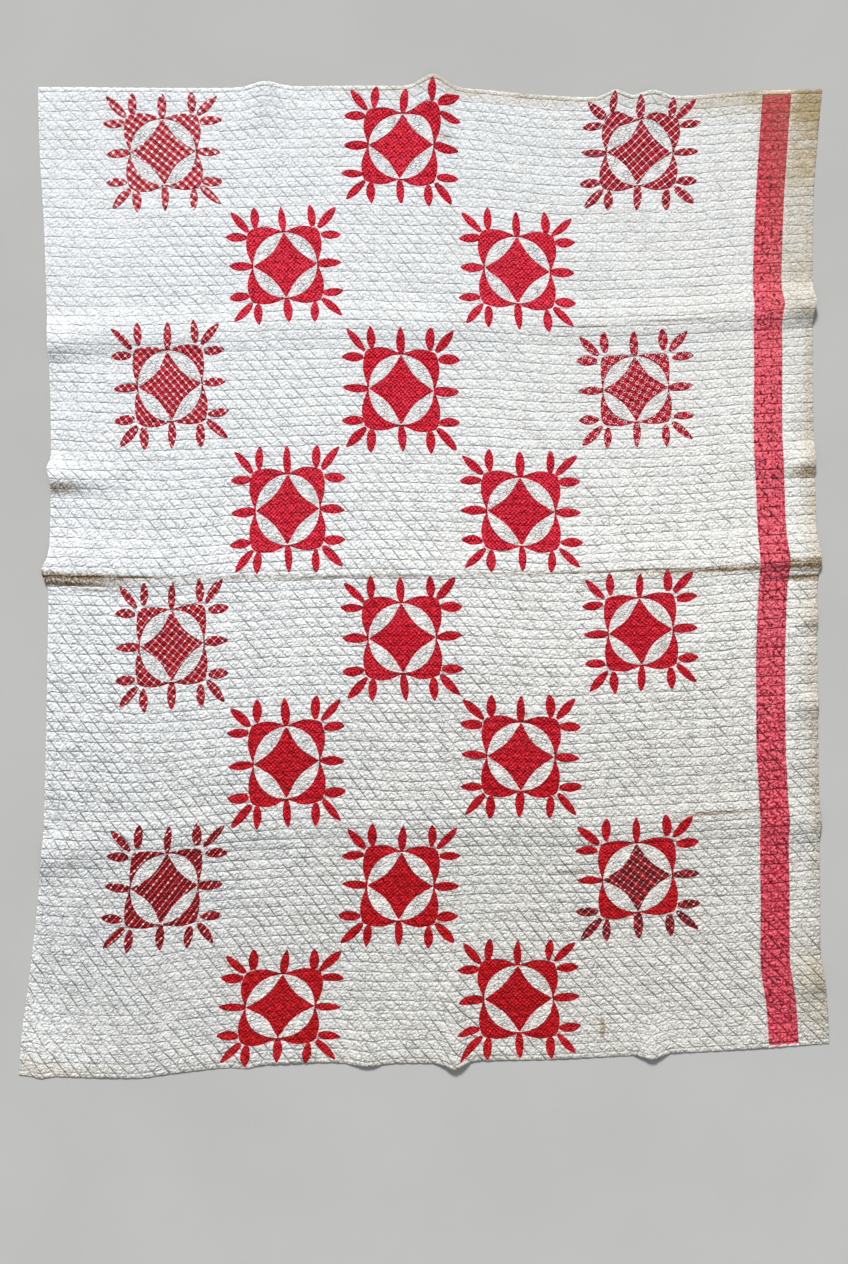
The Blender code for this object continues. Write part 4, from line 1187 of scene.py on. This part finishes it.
def turned_under(cloth, colour):
    """Colour darkened along a patch's stitched edge, and where the reel's points meet."""
    knot, inset = cloth.edge.split()
    return colour.darkened(inset.step(0.0003, 0.0018, 0.32, 0.0) | knot.step(0.0015, 0.0055, 0.8, 0.0), TURNED_SHADE)


def cross_hatched(tree, cloth):
    """A motif's close quilting, as pebbles in staggered rows, and how faded each patch is."""
    warp = (cloth.cloth.noise(75.0) - 0.5) * 0.008
    x, y = (((side + warp) * (math.pi / PEBBLE_PITCH)).sine() for side in cloth.print.split())
    return (x * y).size().step(0.05, 0.85), tree.add("ShaderNodeAttribute", attribute_name="Fade")["Fac"]


def plain_red(colours):
    """Plain red cotton."""
    def look(tree, cloth):
        pebble, fade = cross_hatched(tree, cloth)
        red = dyed(tree, cloth, 0.6, pebble, fade, *red_down(tree, cloth, colours))
        return turned_under(cloth, red), pebble * PEBBLE_HEIGHT
    return cotton("old_plain_red", look, "Print", "Edge")


def printed_red(colours, name, depth, marks):
    """Red cotton with a print of white, and dark bands or deeper squares in some."""
    def look(tree, cloth):
        pebble, fade = cross_hatched(tree, cloth)
        reds = [red.darkened(1.0, (depth, depth, depth)) for red in red_down(tree, cloth, colours)]
        base = dyed(tree, cloth, 0.6, pebble, fade, *reds)
        white, dark, deeper = marks(tree, cloth.print)
        if deeper is not None:
            base = base.darkened(deeper, SQUARE_SHADE)
        if dark is not None:
            base = base.painted(dark, colours.print_dark)
        worn = cloth.cloth.noise(120.0).step(0.30, 0.55, 0.6, 1.0)
        # The white print, worn in places, then soil and painted shade along the stitched grooves.
        base = base.painted(white * worn, colours.print_white).darkened(cloth.groove * 0.5, PRINT_SOIL_AND_SHADE)
        return turned_under(cloth, base), pebble * PEBBLE_HEIGHT
    return cotton("old_" + name.lower().replace(" ", "_"), look, "Print", "Edge")


def checked(pitch_mm, share, strengths, dot=0.0, hollow=0.0, deeper=0.0, bands=False):
    """Marks of a woven check: white, dark and deeper red. The first strength is of the lines down to the right."""
    def marks(tree, place):
        given = {"Print": place, "Pitch": pitch_mm * MM, "White Share": share, "Line Strength": strengths[0],
                 "Other Strength": strengths[1], "Dot Share": dot, "Hollow": hollow}
        check = tree.group("Woven Check", given)
        dark = tree.group("Plaid Bands", given)["Dark"] if bands else None
        white = check["White"] * 0.58 if bands else check["White"]
        return white, dark, check["Square"] * deeper if deeper else None
    return marks


def figured(group, pitch_mm):
    """Marks of a printed figure."""
    def marks(tree, place):
        return tree.group(group, {"Print": place, "Pitch": pitch_mm * MM})["White"], None, None
    return marks


# Each print: the way it runs, up to the right, how deep its red is, and its marks.
Print = namedtuple("Print", "grain_deg depth marks")
PRINTS = {
    "Gingham": Print(50, 0.84, checked(13.0, 0.37, (0.24, 0.08))),
    "Windowpane": Print(43, 0.66, checked(13.0, 0.09, (0.28, 0.68), dot=0.11)),
    "Close Lattice": Print(38, 0.84, checked(12.0, 0.10, (0.50, 0.16), dot=0.15, hollow=0.9, deeper=0.25)),
    "Little Squares": Print(57, 0.76, figured("Hollow Squares", 14.5)),
    "Lattice": Print(48, 0.84, checked(12.6, 0.10, (0.28, 0.38), dot=0.12, deeper=0.30)),
    "Dotted Stripe": Print(52, 0.60, figured("Dotted Stripes", 11.4)),
    "Plaid": Print(50, 0.98, checked(11.4, 0.09, (0.26, 0.34), dot=0.12, deeper=0.55, bands=True)),
}


def motif_materials(cloth, colours):
    """The cloths of a motif: its print, and plain red beside the plaid."""
    if cloth not in PRINTS:
        return [plain_red(colours)]
    own = printed_red(colours, cloth, PRINTS[cloth].depth, PRINTS[cloth].marks)
    return [own, plain_red(colours)] if cloth == "Plaid" else [own]


# Operators.

def settings(context):
    """The scene's sizes and colours."""
    return context.scene.quilt_sizes, context.scene.quilt_colours


class MakeField(bpy.types.Operator):
    """Make the white quilted field, in four bands that meet beside the folds"""
    bl_idname = "quilt.make_field"
    bl_label = "White Field"

    def execute(self, context):
        sizes, colours = settings(context)
        rows = cloth_rows()
        cuts = [0.0, *((line + 0.5) * LINE_PITCH for line in FIELD_CUTS), CLOTH_LENGTH]
        for number, (start, end) in enumerate(zip(cuts, cuts[1:]), 1):
            band = rows[(rows >= start - 1e-6) & (rows <= end + 1e-6)]
            piece = quilted_panel(f"field_band_{number}", 0.0, STRIP_LEFT, band, sizes,
                                  white_cotton(colours, reels=True))
            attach(piece, "root")
            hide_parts("white_field")
            end - start
        return {"FINISHED"}


class MakeStrips(bpy.types.Operator):
    """Make the rose strip and the outer white strip"""
    bl_idname = "quilt.make_strips"
    bl_label = "Strips"

    def execute(self, context):
        sizes, colours = settings(context)
        for name, node, left, right, material, slot in (
                ("rose_strip_cloth", "rose_strip", STRIP_LEFT, STRIP_RIGHT, rose_cotton(colours), "rose_strip"),
                ("outer_strip_cloth", "outer_strip", STRIP_RIGHT, CLOTH_WIDTH, white_cotton(colours), "white_cotton")):
            piece = quilted_panel(name, left, right, cloth_rows(), sizes, material)
            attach(piece, "root")
            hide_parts(node)
            right - left
        return {"FINISHED"}


class MakeBack(bpy.types.Operator):
    """Make the quilt's back, which meets the face all round the rim"""
    bl_idname = "quilt.make_back"
    bl_label = "Back"

    def execute(self, context):
        sizes, colours = settings(context)
        piece = quilt_back(sizes, white_cotton(colours))
        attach(piece, "root")
        return {"FINISHED"}


class MakeApplique(bpy.types.Operator):
    """Make the twenty reel-and-leaf motifs"""
    bl_idname = "quilt.make_applique"
    bl_label = "Applique Motifs"

    def execute(self, context):
        sizes, colours = settings(context)
        for row in MOTIFS:
            piece = applique(row, sizes, motif_materials(row.cloth, colours))
            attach(piece, "root")
            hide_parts(f"motif_{row.row}_{row.column}")
            "plain_red" if row.cloth == "Plain Red" else "printed_red"
            wide, tall = 2 * row.wide * MM, 2 * row.tall * MM
            PATCH_COVER * wide * tall
        return {"FINISHED"}


def in_scene(name, data):
    """A new object in the scene."""
    obj = bpy.data.objects.new(name, data)
    bpy.context.scene.collection.objects.link(obj)
    return obj


def soft_light(name, kind, place, size, power, colour):
    """A large light that looks at the middle of the quilt.

    An area light has its size in metres and its power in watts. A sun has its angle in radians and
    watts for each square metre, the same all over the floor.
    """
    light = bpy.data.lights.new(name, kind)
    light.energy, light.color = power, colour
    if kind == "AREA":
        light.shape, light.size = "DISK", size
    else:
        light.angle = size
    obj = in_scene(name, light)
    obj.location = place
    obj.rotation_euler = (-obj.location).to_track_quat("-Z", "Y").to_euler()
    obj.visible_camera = False


def plain_floor(colours):
    """A large square of pale floor, its colour a little clouded."""
    mesh = bpy.data.meshes.new("floor")
    corners = [(x * FLOOR_REACH, y * FLOOR_REACH, FLOOR_HEIGHT) for x, y in ((-1, -1), (1, -1), (1, 1), (-1, 1))]
    mesh.from_pydata(corners, [], [(0, 1, 2, 3)])
    material = bpy.data.materials.new("floor")
    material.use_nodes = True
    tree = Tree(material.node_tree)
    inputs = material.node_tree.nodes["Principled BSDF"].inputs
    cloud = tree.add("ShaderNodeTexCoord")["Object"].noise(3.0, 3.0).step(0.2, 0.8)
    paler = tuple(min(1.0, value * 1.05) for value in colours.floor)
    tree.feed(inputs["Base Color"], tree.mix(cloud, colours.floor, paler))
    inputs["Roughness"].default_value = 0.85
    inputs["Specular IOR Level"].default_value = 0.2
    mesh.materials.append(material)
    return in_scene("floor", mesh)


class MakeStage(bpy.types.Operator):
    """Make the plain floor, the soft studio light and the camera above the quilt"""
    bl_idname = "quilt.make_stage"
    bl_label = "Stage"

    def execute(self, context):
        sizes, colours = settings(context)
        scene = context.scene
        plain_floor(colours)

        soft_light("key_light", "SUN", (-4.0, 20.0, 11.8), 0.21, 5.33, (1.0, 0.985, 0.96))
        soft_light("fill_light", "AREA", (2.0, -5.0, 6.0), 5.0, 60, (0.94, 0.97, 1.0))
        scene.world = bpy.data.worlds.new("studio")
        scene.world.use_nodes = True
        background = scene.world.node_tree.nodes["Background"]
        background.inputs["Color"].default_value = (0.90, 0.94, 1.0, 1.0)
        background.inputs["Strength"].default_value = 0.33
        scene.view_settings.view_transform = "Standard"

        camera = bpy.data.cameras.new("camera")
        camera.lens = camera.sensor_width * sizes.camera_height / FRAME_HEIGHT
        scene.camera = in_scene("camera", camera)
        scene.camera.location = (0.0, CAMERA_DOWN, sizes.camera_height)
        return {"FINISHED"}


class QuiltPanel(bpy.types.Panel):
    """Lists the quilt's sizes, colours and operators"""
    bl_idname = "VIEW3D_PT_quilt"
    bl_label = "Quilt"
    bl_space_type = "VIEW_3D"
    bl_region_type = "UI"
    bl_category = "Quilt"

    def draw(self, context):
        for group in settings(context):
            box = self.layout.box()
            for name in group.bl_rna.properties.keys():
                if name not in ("rna_type", "name"):
                    box.prop(group, name)
        for operator in OPERATORS:
            self.layout.operator(operator.bl_idname)


OPERATORS = (MakeField, MakeStrips, MakeBack, MakeApplique, MakeStage)
CLASSES = (QuiltSizes, QuiltColours, *OPERATORS, QuiltPanel)


def register():
    for cls in CLASSES:
        bpy.utils.register_class(cls)
    bpy.types.Scene.quilt_sizes = bpy.props.PointerProperty(type=QuiltSizes)
    bpy.types.Scene.quilt_colours = bpy.props.PointerProperty(type=QuiltColours)


def unregister():
    del bpy.types.Scene.quilt_colours
    del bpy.types.Scene.quilt_sizes
    for cls in reversed(CLASSES):
        bpy.utils.unregister_class(cls)


def main():
    register()
    bpy.ops.quilt.make_field()
    bpy.ops.quilt.make_strips()
    bpy.ops.quilt.make_back()
    bpy.ops.quilt.make_applique()
    bpy.ops.quilt.make_stage()


if __name__ == "__main__":
    main()
